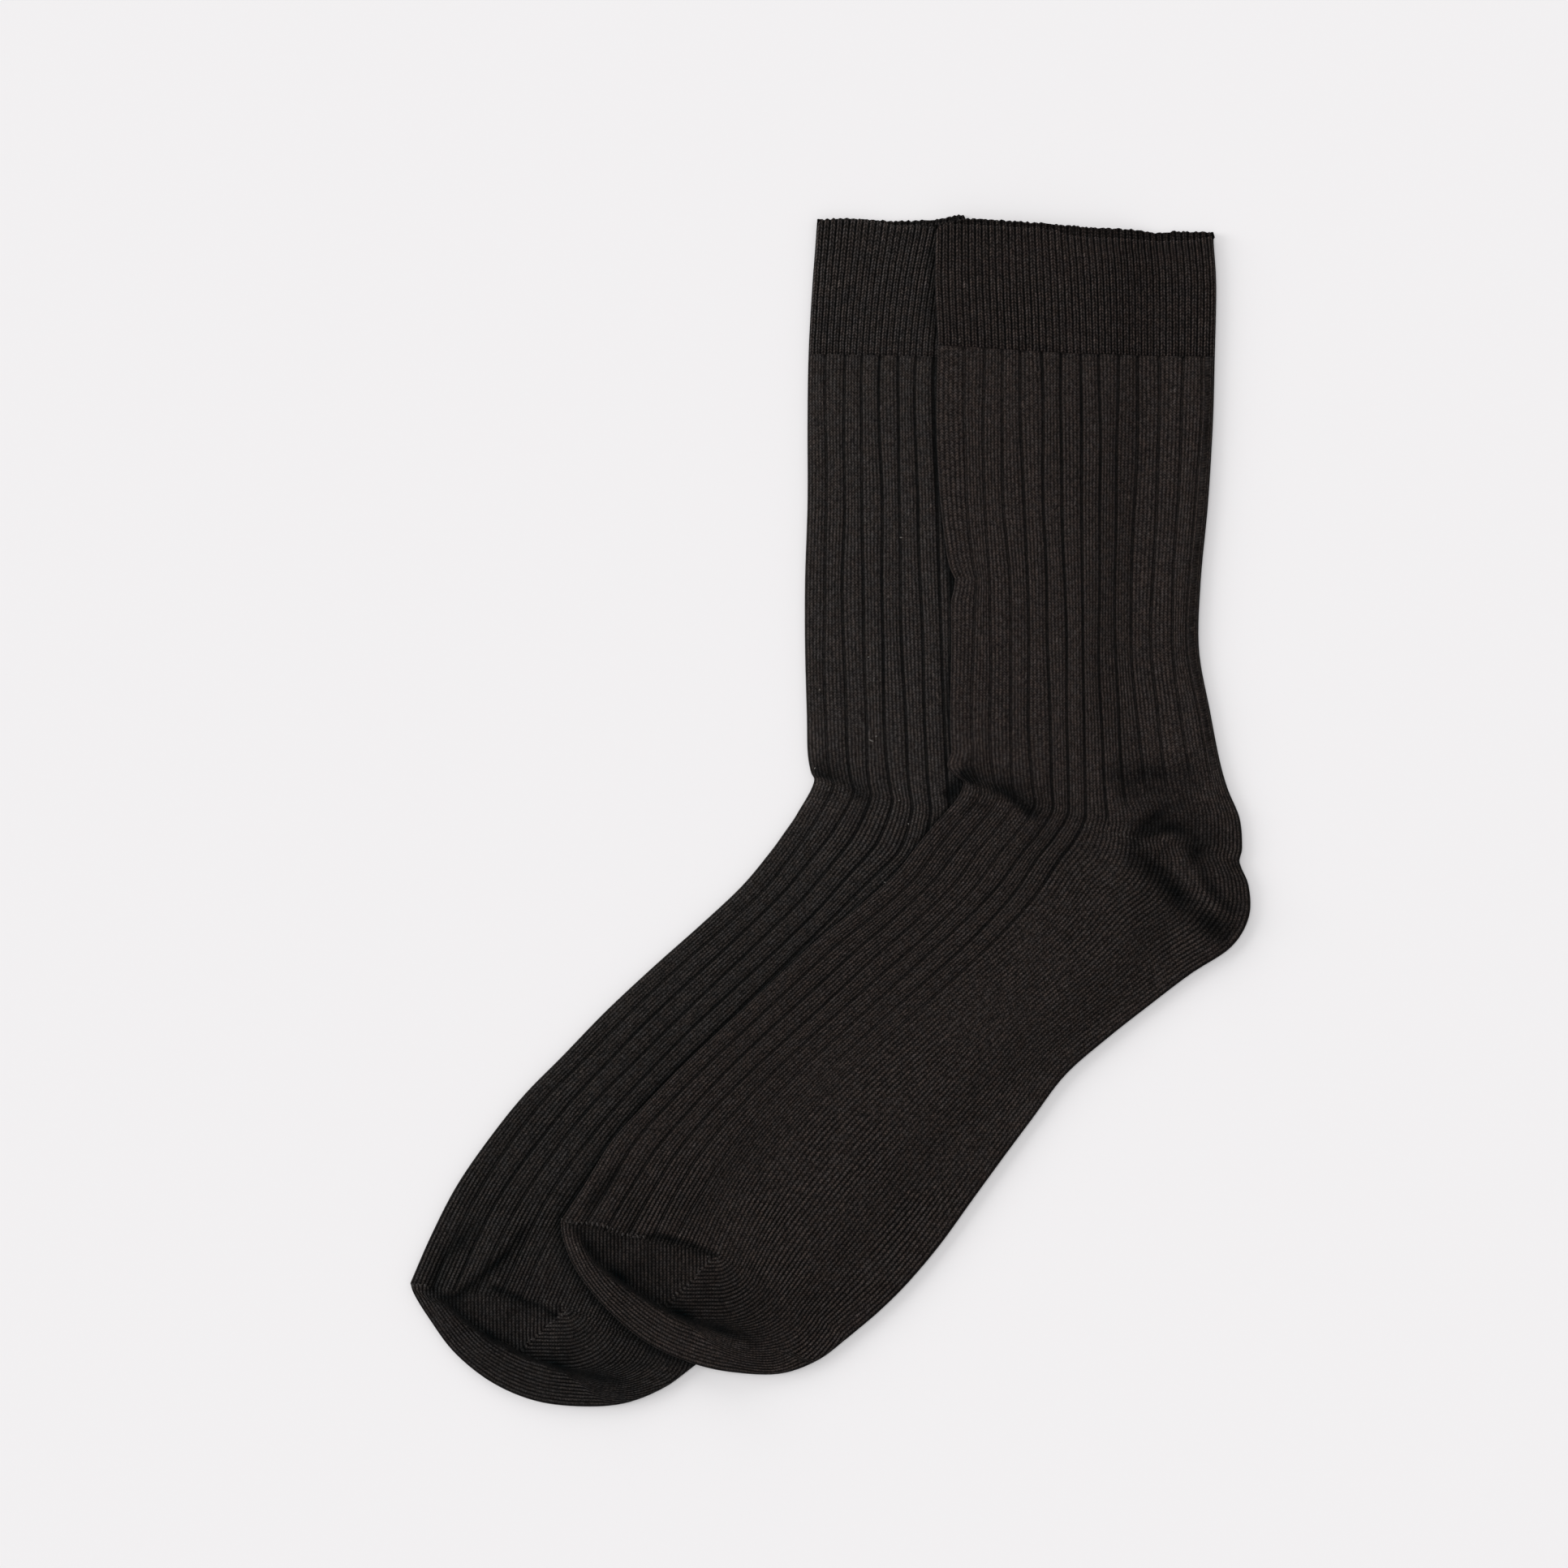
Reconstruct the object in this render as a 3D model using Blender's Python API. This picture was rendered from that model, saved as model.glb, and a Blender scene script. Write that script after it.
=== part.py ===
"""Pair of ribbed socks, each laid flat on its side, the top sock half over the under sock.

Lengths are millimetres and are scaled to metres as the meshes are built. +Z is up from the
surface that the socks lie on, +Y runs from the toes to the cuffs, and +X from toe to heel.
A sock is a wall of cloth round a flat slit. Its sections run from the front fold over the
side line, where instep and heel stitches meet, to the back fold, and back underneath. The
toe pocket is a fan of sections round the side line's end and closes on the instep's last
section, along the toe seam. The cuff is a tube of its own above the welt line.
"""

import math

import bmesh
import bpy

MM = 0.001                # metres in a millimetre

UNDER_WALL = 1.0          # cloth that rests below the slit
TOP_WALL = 1.1            # cloth above the slit, measured in a groove
SLIT = 0.35               # air between the two layers
RIB_RELIEF = 0.5          # height of a leg rib over its groove
CUFF_RIB_RELIEF = 0.3     # height of a fine cuff rib over its groove
CROWN = UNDER_WALL + SLIT + TOP_WALL + RIB_RELIEF      # top of ribs and of plain knit
CUFF_CROWN = CROWN + 0.05                              # the cuff stands a little prouder
FOLD_HEIGHT = CROWN / 2                                # middle of a folded edge
FOLD_STEPS = ((1.3, 0.0), (0.5, 0.14))                 # in from a fold: distance, part rounded off
FOLD_WALL = 1.4           # cloth between a folded edge and the slit
SEAM_GAP = 0.3            # between cuff and body at the welt, and between the two socks
RIM_ROUND = 0.35          # height lost at the rounded rim of the mouth
RIM_DEPTH = 0.8           # length of that rounding

LEG_RIB = ((0.17, 0.8), (0.5, 1.0), (0.83, 0.8))   # across a leg rib: part of its width, of its relief
CUFF_RIBS = {"front": 21, "back": 22}
UNDER_STEPS = 8           # spans of a plain arm, from the side line to a fold
TOE_RAYS = 16             # sections of the toe pocket
FINE_FROM = "ankle_2"     # from here on a section is added half way to the next one

# Sections in plan: name, front fold, side line, back fold.
TOP_ROWS = (
    ("mouth", (30.0, 166.5), (69.5, 164.9), (109.4, 164.0)),
    ("cuff_middle", (29.8, 150.5), (70.6, 149.1), (110.3, 150.0)),
    ("welt", (30.5, 132.4), (71.3, 129.9), (109.9, 129.4)),
    ("leg_1", (30.3, 111.1), (71.6, 110.1), (109.4, 111.1)),
    ("leg_2", (31.4, 87.9), (71.6, 87.4), (108.0, 87.9)),
    ("leg_3", (34.0, 65.8), (71.8, 65.4), (105.9, 65.6)),
    ("leg_4", (34.5, 46.1), (72.0, 45.4), (105.4, 46.1)),
    ("leg_5", (34.2, 27.5), (72.3, 26.1), (108.5, 28.7)),
    ("ankle_1", (34.7, 16.4), (72.5, 11.8), (111.2, 14.8)),
    ("ankle_2", (35.8, 10.8), (72.7, 3.2), (113.6, 6.2)),
    ("heel_1", (37.2, 8.5), (72.7, -0.3), (117.0, -2.2)),
    ("heel_2", (37.5, 6.2), (72.5, -2.2), (117.7, -10.7)),
    ("heel_gore", (36.1, 3.4), (72.0, -3.5), (117.0, -14.9)),
    ("heel_3", (33.8, 0.6), (71.3, -5.2), (119.6, -21.6)),
    ("heel_4", (31.7, -1.7), (70.2, -7.0), (119.6, -30.5)),
    ("heel_5", (29.6, -4.0), (68.6, -9.6), (114.5, -39.0)),
    ("foot_0", (25.4, -9.1), (65.1, -14.0), (102.9, -46.7)),
    ("foot_1", (18.0, -18.4), (58.1, -24.4), (91.3, -55.5)),
    ("foot_2", (7.3, -27.9), (48.1, -35.6), (79.2, -65.0)),
    ("foot_3", (-4.8, -37.7), (37.0, -46.2), (67.2, -75.5)),
    ("foot_4", (-16.8, -49.0), (25.4, -56.4), (57.9, -87.8)),
    ("foot_5", (-29.3, -60.6), (13.3, -67.1), (49.1, -99.6)),
    ("foot_6", (-41.2, -71.8), (1.7, -77.8), (40.3, -111.7)),
    ("foot_7", (-52.3, -83.1), (-8.9, -88.9), (31.4, -124.0)),
    ("foot_8", (-62.1, -94.0), (-18.2, -101.0), (22.2, -134.9)),
    ("foot_9", (-70.4, -107.3), (-26.1, -113.5), (13.8, -143.2)),
    ("toe_seam", (-76.7, -116.8), (-32.1, -126.3), (5.5, -150.2)),
)
UNDER_ROWS = (
    ("mouth", (-3.6, 167.9), (35.6, 166.0), (76.4, 163.0)),
    ("cuff_middle", (-5.0, 150.0), (31.9, 149.6), (74.8, 149.1)),
    ("welt", (-6.1, 130.3), (29.6, 129.4), (74.1, 128.5)),
    ("leg_1", (-6.4, 111.1), (29.6, 110.6), (73.2, 110.6)),
    ("leg_2", (-6.4, 87.9), (30.5, 87.9), (71.3, 87.9)),
    ("leg_3", (-7.1, 65.8), (31.2, 65.4), (69.0, 65.6)),
    ("leg_4", (-7.1, 46.1), (31.9, 45.4), (67.6, 46.1)),
    ("leg_5", (-6.6, 27.5), (32.6, 26.1), (69.5, 28.7)),
    ("ankle_1", (-6.4, 17.1), (33.3, 11.8), (72.3, 14.8)),
    ("ankle_2", (-5.5, 11.3), (33.8, 3.2), (74.8, 6.2)),
    ("heel_1", (-4.5, 9.0), (33.8, -0.3), (78.3, -2.2)),
    ("heel_2", (-5.2, 6.4), (33.5, -2.6), (79.7, -10.7)),
    ("heel_gore", (-6.8, 3.4), (32.6, -4.9), (79.9, -16.5)),
    ("heel_3", (-8.5, 0.6), (31.4, -7.5), (81.1, -22.3)),
    ("heel_4", (-10.3, -2.4), (29.6, -10.5), (80.9, -30.5)),
    ("heel_5", (-12.9, -6.1), (27.5, -14.0), (75.7, -39.3)),
    ("foot_0", (-17.1, -11.9), (23.5, -18.9), (64.1, -47.4)),
    ("foot_1", (-25.2, -21.6), (16.1, -29.1), (51.4, -57.1)),
    ("foot_2", (-36.8, -32.5), (5.2, -40.7), (38.4, -67.6)),
    ("foot_3", (-50.2, -44.4), (-6.8, -52.7), (26.3, -79.4)),
    ("foot_4", (-64.1, -57.4), (-19.4, -64.8), (16.1, -92.2)),
    ("foot_5", (-76.2, -69.9), (-31.7, -76.9), (6.8, -104.2)),
    ("foot_6", (-87.6, -81.5), (-42.8, -88.9), (-2.4, -116.8)),
    ("foot_7", (-97.8, -94.3), (-52.8, -101.5), (-11.5, -129.5)),
    ("foot_8", (-106.8, -107.5), (-61.8, -114.4), (-21.2, -141.1)),
    ("foot_9", (-114.0, -121.6), (-69.3, -127.9), (-30.0, -149.9)),
    ("toe_seam", (-119.8, -134.9), (-75.3, -141.4), (-38.4, -158.3)),
)

# The toe's folded edge between the last back fold and the last front fold.
TOP_TOE = ((-3.4, -156.9), (-14.5, -160.8), (-27.3, -160.1), (-40.0, -157.1), (-52.8, -151.1),
           (-64.4, -141.1), (-72.3, -130.9), (-76.0, -122.1))
UNDER_TOE = ((-47.4, -164.8), (-58.6, -169.2), (-70.9, -170.1), (-84.1, -168.5), (-96.6, -163.2),
             (-107.3, -154.6), (-114.7, -144.6), (-118.7, -138.1))

# Rims of the mouth from front to back: the layer that shows, and the layer below it.
TOP_MOUTH = {
    "shown": ((30.0, 166.3), (44.0, 167.2), (67.9, 164.9), (95.0, 163.5), (109.4, 163.7)),
    "below": ((30.0, 166.8), (38.4, 168.8), (50.7, 168.1), (81.3, 165.8), (109.4, 165.0)),
}
UNDER_MOUTH = {
    "shown": ((-3.6, 168.6), (5.0, 169.1), (12.4, 168.1), (27.3, 166.7), (37.0, 165.1), (76.4, 162.1)),
    "below": ((-3.6, 168.6), (18.4, 167.9), (28.7, 168.1), (37.7, 169.8), (40.0, 167.0), (76.4, 162.6)),
}

# Grooves between ribs, as parts of the way from the side line to a fold.
EVEN_GROOVES = tuple(rib / 7 for rib in range(1, 7))
TOP_INSTEP_GROOVES = (0.14, 0.275, 0.421, 0.545, 0.677, 0.80)
TOP_ANKLE_GROOVES = (0.127, 0.256, 0.406, 0.554, 0.712, 0.843)
TOP_HEEL_GROOVES = (0.14, 0.275, 0.42, 0.59, 0.765, 0.90)

# Depth of the ribs from this section on: name, instep, heel side.
RIB_FADE = (
    ("welt", 1.0, 1.0),
    ("ankle_1", 1.0, 0.9),
    ("ankle_2", 1.0, 0.5),
    ("heel_1", 1.0, 0.0),
    ("foot_9", 0.6, 0.0),
    ("toe_seam", 0.25, 0.0),
)

# Creases of the cloth that shows: name, height over the flat cloth, reach, line in plan.
TOP_CREASES = (
    ("ankle roll", 1.7, 4.5, ((35.0, 7.0), (43.0, 3.2), (50.0, 1.0), (58.0, -5.0))),
    ("leg above the ankle", 0.9, 5.5, ((42.0, 15.5), (54.0, 12.0), (64.0, 8.0))),
    ("rib ends over the heel", 0.9, 4.0, ((80.0, 15.0), (96.0, 13.0), (106.0, 12.0))),
    ("heel ridge", 1.9, 4.0, ((96.5, -7.5), (101.0, -12.5), (105.0, -19.0), (110.0, -27.5))),
    ("heel top", 0.9, 4.5, ((82.0, 0.0), (90.0, 2.5), (104.0, 4.0))),
    ("heel back", 0.9, 4.5, ((109.0, -4.0), (112.5, -12.0), (113.0, -24.0))),
    ("heel under the gore", 1.3, 4.5, ((80.0, -15.0), (92.0, -25.5), (104.0, -36.0))),
    ("toe pocket", 1.5, 7.0, ((-60.0, -125.5), (-48.0, -132.0), (-34.0, -140.0), (-18.0, -146.0))),
    ("toe lip", 1.2, 4.0, ((-70.0, -127.5), (-60.0, -138.5), (-46.0, -148.0), (-32.0, -153.5), (-18.0, -157.0))),
    ("sole wave", 0.5, 5.0, ((76.0, -60.0), (66.0, -69.0))),
    ("left edge pinch", 0.6, 4.0, ((38.0, 72.0), (40.0, 60.0))),
)
UNDER_CREASES = (
    ("ankle roll", 1.3, 4.5, ((-9.0, 3.0), (2.0, -1.5), (12.0, -6.5))),
    ("leg above the ankle", 0.8, 6.0, ((-2.0, 19.0), (8.0, 13.0), (18.0, 8.0))),
    ("toe pocket", 1.4, 6.0, ((-104.0, -142.0), (-94.0, -147.5), (-84.0, -151.5))),
    ("toe lip", 1.2, 4.0, ((-112.5, -146.5), (-102.0, -154.5), (-88.0, -161.0), (-70.0, -165.5))),
)
FOLD_CALM = 6.0           # creases die out over this distance towards a folded edge

DRAPE_RISE = CUFF_CROWN + SEAM_GAP     # the top sock's underside where it lies on the under sock
DRAPE_LEDGE = 3.5         # it stays that high for this far outside the under sock
DRAPE_RAMP = 15.0         # and comes down to the surface over this distance

COTTON = (0.0145, 0.0122, 0.0113, 1.0)


def smooth(value):
    """An eased step from 0 to 1."""
    value = min(max(value, 0.0), 1.0)
    return value * value * (3.0 - 2.0 * value)


def mix(a, b, part):
    """The point that lies the given part of the way from a to b."""
    return tuple(p + (q - p) * part for p, q in zip(a, b))


def interpolate(line, x):
    """Height of an open line of (x, y) points at x."""
    for (x0, y0), (x1, y1) in zip(line, line[1:]):
        if x <= x1:
            return y0 + (y1 - y0) * max(x - x0, 0.0) / (x1 - x0)
    return line[-1][1]


def spline(points, part):
    """The point at a part of the way along a smooth curve through the points."""
    place = part * (len(points) - 1)
    start = min(int(place), len(points) - 2)
    t = place - start
    p1, p2 = points[start], points[start + 1]
    p0 = points[start - 1] if start else tuple(2 * a - b for a, b in zip(p1, p2))
    p3 = points[start + 2] if start + 2 < len(points) else tuple(2 * b - a for a, b in zip(p1, p2))
    return tuple(
        0.5 * (2 * b + (c - a) * t + (2 * a - 5 * b + 4 * c - d) * t * t + (3 * b - a - 3 * c + d) * t ** 3)
        for a, b, c, d in zip(p0, p1, p2, p3)
    )


def line_distance(point, line):
    """Plan distance from a point to an open line."""
    nearest = math.inf
    for (x0, y0), (x1, y1) in zip(line, line[1:]):
        dx, dy = x1 - x0, y1 - y0
        along = ((point[0] - x0) * dx + (point[1] - y0) * dy) / (dx * dx + dy * dy)
        along = min(max(along, 0.0), 1.0)
        nearest = min(nearest, math.hypot(point[0] - x0 - dx * along, point[1] - y0 - dy * along))
    return nearest


def outline_depth(point, outline):
    """Plan distance from a point to a closed outline, positive inside it."""
    closed = outline + outline[:1]
    inside = False
    for (x0, y0), (x1, y1) in zip(closed, closed[1:]):
        if (y0 > point[1]) != (y1 > point[1]):
            if point[0] < x0 + (point[1] - y0) * (x1 - x0) / (y1 - y0):
                inside = not inside
    distance = line_distance(point, closed)
    return distance if inside else -distance


class Lie:
    """How one sock lies: its sections, its mouth, its creases and what it lies on."""

    def __init__(self, rows, toe, mouth, grooves, creases, below=None, above=None):
        self.rows = {name: (front, side, back) for name, front, side, back in rows}
        self.names = [row[0] for row in rows]
        self.places = []
        for index in range(len(rows)):
            self.places.append(index)
            if self.names.index(FINE_FROM) <= index < len(rows) - 1:
                self.places.append(index + 0.5)
        self.mouth = mouth
        self.grooves = grooves
        self.creases = creases
        self.below = below
        self.above = above
        seam = self.rows["toe_seam"]
        self.toe = (seam[2],) + toe + (seam[0],)
        fronts = [self.section(place)[0] for place in self.places]
        backs = [self.section(place)[2] for place in reversed(self.places)]
        toe_edge = [spline(self.toe, ray / TOE_RAYS) for ray in range(TOE_RAYS, -1, -1)]
        self.outline = tuple(fronts + toe_edge[1:-1] + backs)

    def section(self, place):
        """Front fold, side line and back fold at a place in the table, or between two rows."""
        columns = zip(*self.rows.values())
        return tuple(spline(column, place / (len(self.names) - 1)) for column in columns)

    def drape(self, point):
        """Height of the sock's underside over the surface."""
        if self.below is None:
            return 0.0
        outside = -outline_depth(point, self.below.outline) - DRAPE_LEDGE
        return DRAPE_RISE * (1.0 - smooth(outside / DRAPE_RAMP))

    def lift(self, point):
        """Height that the creases add to the layer that shows."""
        calm = smooth(outline_depth(point, self.outline) / FOLD_CALM)
        if self.above is not None:
            calm *= smooth(-outline_depth(point, self.above.outline) / FOLD_CALM)
        height = 0.0
        for _, rise, reach, line in self.creases:
            height = max(height, rise * math.exp(-((line_distance(point, line) / reach) ** 2)))
        return height * calm


def fold_arm(length, places, crown):
    """A top arm's places, as part of the way from the side line to the fold and height."""
    rounding = [(1.0 - distance / length, crown * (1.0 - lost)) for distance, lost in FOLD_STEPS]
    return places + rounding + [(1.0, FOLD_HEIGHT)]


def ribbed_arm(length, grooves, depth):
    """Top of an arm with leg ribs: grooves at the given parts, full height between them."""
    low = CROWN - RIB_RELIEF * depth
    edges = (0.0,) + tuple(grooves) + (1.0,)
    places = []
    for start, end in zip(edges, edges[1:]):
        places.append((start, low))
        for across, relief in LEG_RIB:
            if end < 1.0 or across < 0.5:
                places.append((start + (end - start) * across, low + (CROWN - low) * relief))
    return fold_arm(length, places, CROWN)


def cuff_arm(length, ribs, rim_loss=0.0):
    """Top of an arm with fine cuff ribs."""
    crown = CUFF_CROWN - rim_loss
    places = []
    for rib in range(ribs):
        places.append((rib / ribs, crown - CUFF_RIB_RELIEF))
        if rib < ribs - 1:
            places.append(((rib + 0.5) / ribs, crown))
    return fold_arm(length, places, crown)


def under_arm(length, rise=0.0):
    """Underside of an arm, flat where it rests and rounded at the fold."""
    places = [(step / UNDER_STEPS, rise) for step in range(UNDER_STEPS)]
    for distance, lost in FOLD_STEPS:
        places.append((1.0 - distance / length, max(CROWN * lost, rise)))
    places.append((1.0, FOLD_HEIGHT))
    return places


def slit_arm(length, height):
    """One face of the slit, which ends short of the fold."""
    places = [(step / UNDER_STEPS, height) for step in range(UNDER_STEPS)]
    places.append((1.0 - FOLD_WALL / length, UNDER_WALL + SLIT / 2))
    return places


class Skin:
    """The sections of one skin of a sock's wall, and the faces between them."""

    def __init__(self, mesh, lie, lifted):
        self.mesh = mesh
        self.lie = lie
        self.lifted = lifted

    def vertex(self, plan, height, shown):
        z = height + self.lie.drape(plan)
        if shown and self.lifted:
            z += self.lie.lift(plan)
        return self.mesh.verts.new((plan[0] * MM, plan[1] * MM, z * MM))

    def arm(self, side, fold, top, under, ends=None, moved=None):
        """Two chains of vertices from the side line to one fold, which they share."""
        moved = moved or (lambda plan, shown: plan)
        chains = []
        for places, shown in ((top, True), (under, False)):
            chain = [ends[shown]] if ends else []
            for part, height in places[len(chain):-1]:
                chain.append(self.vertex(moved(mix(side, fold, part), shown), height, shown))
            chains.append(chain)
        part, height = top[-1]
        shared = self.vertex(moved(mix(side, fold, part), True), height, False)
        parts = [[place[0] for place in places] for places in (top, under)]
        return [chain + [shared] for chain in chains], parts

    def row(self, section, tops, unders, moved=None):
        """A tube section: a front arm and a back arm from one side line."""
        front, side, back = section
        front_arm = self.arm(side, front, tops[0], unders[0], moved=moved)
        ends = {True: front_arm[0][0][0], False: front_arm[0][1][0]}
        back_arm = self.arm(side, back, tops[1], unders[1], ends=ends, moved=moved)
        return front_arm, back_arm

    def band(self, arm, next_arm):
        """Faces between two arms of the same make."""
        for chain, next_chain in zip(arm[0], next_arm[0]):
            for a, b, c, d in zip(chain, chain[1:], next_chain[1:], next_chain):
                corners = [a, b, c] if a is d else [a, b, c, d]
                self.mesh.faces.new(corners)

    def tube(self, rows):
        for row, next_row in zip(rows, rows[1:]):
            for arm, next_arm in zip(row, next_row):
                self.band(arm, next_arm)


def zip_rim(mesh, outer_row, inner_row):
    """Triangles that close the wall between the outer and the inner skin of one section."""
    for (outer, outer_parts), (inner, inner_parts) in zip(outer_row, inner_row):
        for a, a_parts, b, b_parts in zip(outer, outer_parts, inner, inner_parts):
            i, j = 0, 0
            while i < len(a) - 1 or j < len(b) - 1:
                step_outer = j == len(b) - 1 or (i < len(a) - 1 and a_parts[i + 1] <= b_parts[j + 1])
                if step_outer:
                    mesh.faces.new((a[i], a[i + 1], b[j]))
                    i += 1
                else:
                    mesh.faces.new((a[i], b[j + 1], b[j]))
                    j += 1


def finish(mesh, name, colour):
    """A named object of the mesh, centred by the caller, with a cloth material."""
    bmesh.ops.recalc_face_normals(mesh, faces=mesh.faces)
    data = bpy.data.meshes.new(name)
    mesh.to_mesh(data)
    mesh.free()
    body = bpy.data.objects.new(name, data)
    material = bpy.data.materials.new(name + "_cotton")
    material.use_nodes = True
    shader = material.node_tree.nodes["Principled BSDF"]
    shader.inputs["Base Color"].default_value = colour
    shader.inputs["Roughness"].default_value = 0.95
    data.materials.append(material)
    return body


def rib_depths(name, current):
    """Rib depths at a section, which hold until the table gives new ones."""
    for row, instep, heel in RIB_FADE:
        if row == name:
            return instep, heel
    return current


def groove_sets(lie, place):
    """Grooves of the instep and the heel side at a place in the table."""
    welt, ankle, foot = (lie.names.index(name) for name in ("welt", "ankle_1", "foot_2"))
    leg, at_ankle, heel = lie.grooves
    if place <= ankle:
        instep = mix(leg, at_ankle, (place - welt) / (ankle - welt))
    else:
        instep = mix(at_ankle, EVEN_GROOVES, min((place - ankle) / (foot - ankle), 1.0))
    return instep, heel


def welt_section(lie, shift):
    """The welt's section, moved along the leg by a part of the seam gap."""
    return tuple((x, y + shift) for x, y in lie.rows["welt"])


def build_body(lie, name, colour):
    """Leg, heel, foot and toe pocket as one closed wall, open at the welt."""
    mesh = bmesh.new()
    outer, inner = Skin(mesh, lie, True), Skin(mesh, lie, False)
    outer_rows, inner_rows = [], []
    depths = (1.0, 1.0)
    welt = lie.names.index("welt")
    for place in lie.places[welt:]:
        section = welt_section(lie, -SEAM_GAP / 2) if place == welt else lie.section(place)
        front, side, back = section
        lengths = (math.dist(side, front), math.dist(side, back))
        depths = rib_depths(lie.names[int(place)], depths)
        grooves = groove_sets(lie, place)
        tops = [ribbed_arm(length, marks, depth) for length, marks, depth in zip(lengths, grooves, depths)]
        outer_rows.append(outer.row(section, tops, [under_arm(length) for length in lengths]))
        roofs = [slit_arm(length, UNDER_WALL + SLIT) for length in lengths]
        inner_rows.append(inner.row(section, roofs, [slit_arm(length, UNDER_WALL) for length in lengths]))
    outer.tube(outer_rows)
    inner.tube(inner_rows)
    zip_rim(mesh, outer_rows[0], inner_rows[0])

    side = lie.rows["toe_seam"][1]
    instep_grooves, heel_grooves = groove_sets(lie, lie.places[-1])
    for skin, rows in ((outer, outer_rows), (inner, inner_rows)):
        front_arm, back_arm = rows[-1]
        ends = {True: back_arm[0][0][0], False: back_arm[0][1][0]}
        arms = [back_arm]
        for ray in range(1, TOE_RAYS):
            part = ray / TOE_RAYS
            fold = spline(lie.toe, part)
            length = math.dist(side, fold)
            if skin is outer:
                top = ribbed_arm(length, mix(heel_grooves, instep_grooves, part), 0.0)
                under = under_arm(length)
            else:
                top = slit_arm(length, UNDER_WALL + SLIT)
                under = slit_arm(length, UNDER_WALL)
            arms.append(skin.arm(side, fold, top, under, ends=ends))
        arms.append(front_arm)
        for arm, next_arm in zip(arms, arms[1:]):
            skin.band(arm, next_arm)
    return finish(mesh, name, colour)


def build_cuff(lie, name, colour):
    """A short tube with fine ribs, its two rims at the mouth at different heights."""
    mesh = bmesh.new()
    outer, inner = Skin(mesh, lie, True), Skin(mesh, lie, False)

    def at_rim(inset):
        def moved(plan, shown):
            edge = lie.mouth["shown" if shown else "below"]
            return plan[0], interpolate(edge, plan[0]) - inset
        return moved

    outer_rows, inner_rows = [], []
    for row_name, inset, rim_loss in (("mouth", 0.0, RIM_ROUND), ("mouth", RIM_DEPTH, 0.0),
                                      ("cuff_middle", None, 0.0), ("welt", None, 0.0)):
        section = lie.rows[row_name]
        if row_name == "welt":
            section = welt_section(lie, SEAM_GAP / 2)
        moved = None if inset is None else at_rim(inset)
        front, side, back = section
        lengths = (math.dist(side, front), math.dist(side, back))
        tops = [cuff_arm(length, ribs, rim_loss) for length, ribs in zip(lengths, CUFF_RIBS.values())]
        unders = [under_arm(length, rim_loss) for length in lengths]
        outer_rows.append(outer.row(section, tops, unders, moved))
        if rim_loss or inset is None:
            roofs = [slit_arm(length, UNDER_WALL + SLIT) for length in lengths]
            floors = [slit_arm(length, UNDER_WALL) for length in lengths]
            inner_rows.append(inner.row(section, roofs, floors, moved))
    outer.tube(outer_rows)
    inner.tube(inner_rows)
    zip_rim(mesh, outer_rows[0], inner_rows[0])
    zip_rim(mesh, outer_rows[-1], inner_rows[-1])
    return finish(mesh, name, colour)


def centre(bodies):
    """Move the bodies so that the middle of their base is the origin."""
    corners = [vertex.co for body in bodies for vertex in body.data.vertices]
    low = [min(corner[axis] for corner in corners) for axis in range(3)]
    high = [max(corner[axis] for corner in corners) for axis in range(3)]
    shift = ((low[0] + high[0]) / 2, (low[1] + high[1]) / 2, low[2])
    for body in bodies:
        for vertex in body.data.vertices:
            vertex.co = [place - move for place, move in zip(vertex.co, shift)]


def build():
    for old in list(bpy.data.objects):
        bpy.data.objects.remove(old, do_unlink=True)
    even = (EVEN_GROOVES, EVEN_GROOVES, EVEN_GROOVES)
    uneven = (TOP_INSTEP_GROOVES, TOP_ANKLE_GROOVES, TOP_HEEL_GROOVES)
    under = Lie(UNDER_ROWS, UNDER_TOE, UNDER_MOUTH, even, UNDER_CREASES)
    top = Lie(TOP_ROWS, TOP_TOE, TOP_MOUTH, uneven, TOP_CREASES, below=under)
    under.above = top
    bodies = [
        build_cuff(under, "under_sock_cuff", COTTON),
        build_body(under, "under_sock_body", COTTON),
        build_cuff(top, "top_sock_cuff", COTTON),
        build_body(top, "top_sock_body", COTTON),
    ]
    centre(bodies)
    collection = bpy.data.collections.new("pair_of_socks")
    bpy.context.scene.collection.children.link(collection)
    for body in bodies:
        collection.objects.link(body)


build()
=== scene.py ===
"""Knitted looks for a pair of ribbed socks that lie flat, half over each other.

Tables are in millimetres in the maker's own layout: +Y along the leg towards the cuff, +X
from toe to heel. A sock's sections run from the front fold over the side line, where the
instep's stitches meet the heel's, to the back fold, and back underneath. The toe pocket is a
fan of sections round the end of the side line.
"""

import bpy
import numpy as np
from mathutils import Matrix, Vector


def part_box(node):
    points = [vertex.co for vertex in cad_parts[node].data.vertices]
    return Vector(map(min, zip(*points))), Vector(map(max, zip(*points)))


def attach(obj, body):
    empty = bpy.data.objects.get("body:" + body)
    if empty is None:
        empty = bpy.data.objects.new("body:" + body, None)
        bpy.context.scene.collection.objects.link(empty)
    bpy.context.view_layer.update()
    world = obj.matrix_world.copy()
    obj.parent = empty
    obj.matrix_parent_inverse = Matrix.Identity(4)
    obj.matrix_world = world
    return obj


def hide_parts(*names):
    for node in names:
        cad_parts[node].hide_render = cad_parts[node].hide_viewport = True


bl_info = {
    "name": "Pair of ribbed socks",
    "version": (1, 0, 0),
    "blender": (4, 5, 0),
    "location": "3D View > Sidebar > Socks",
    "description": "Knits a pair of flat ribbed socks over their CAD solids",
    "category": "Add Mesh",
}

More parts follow.
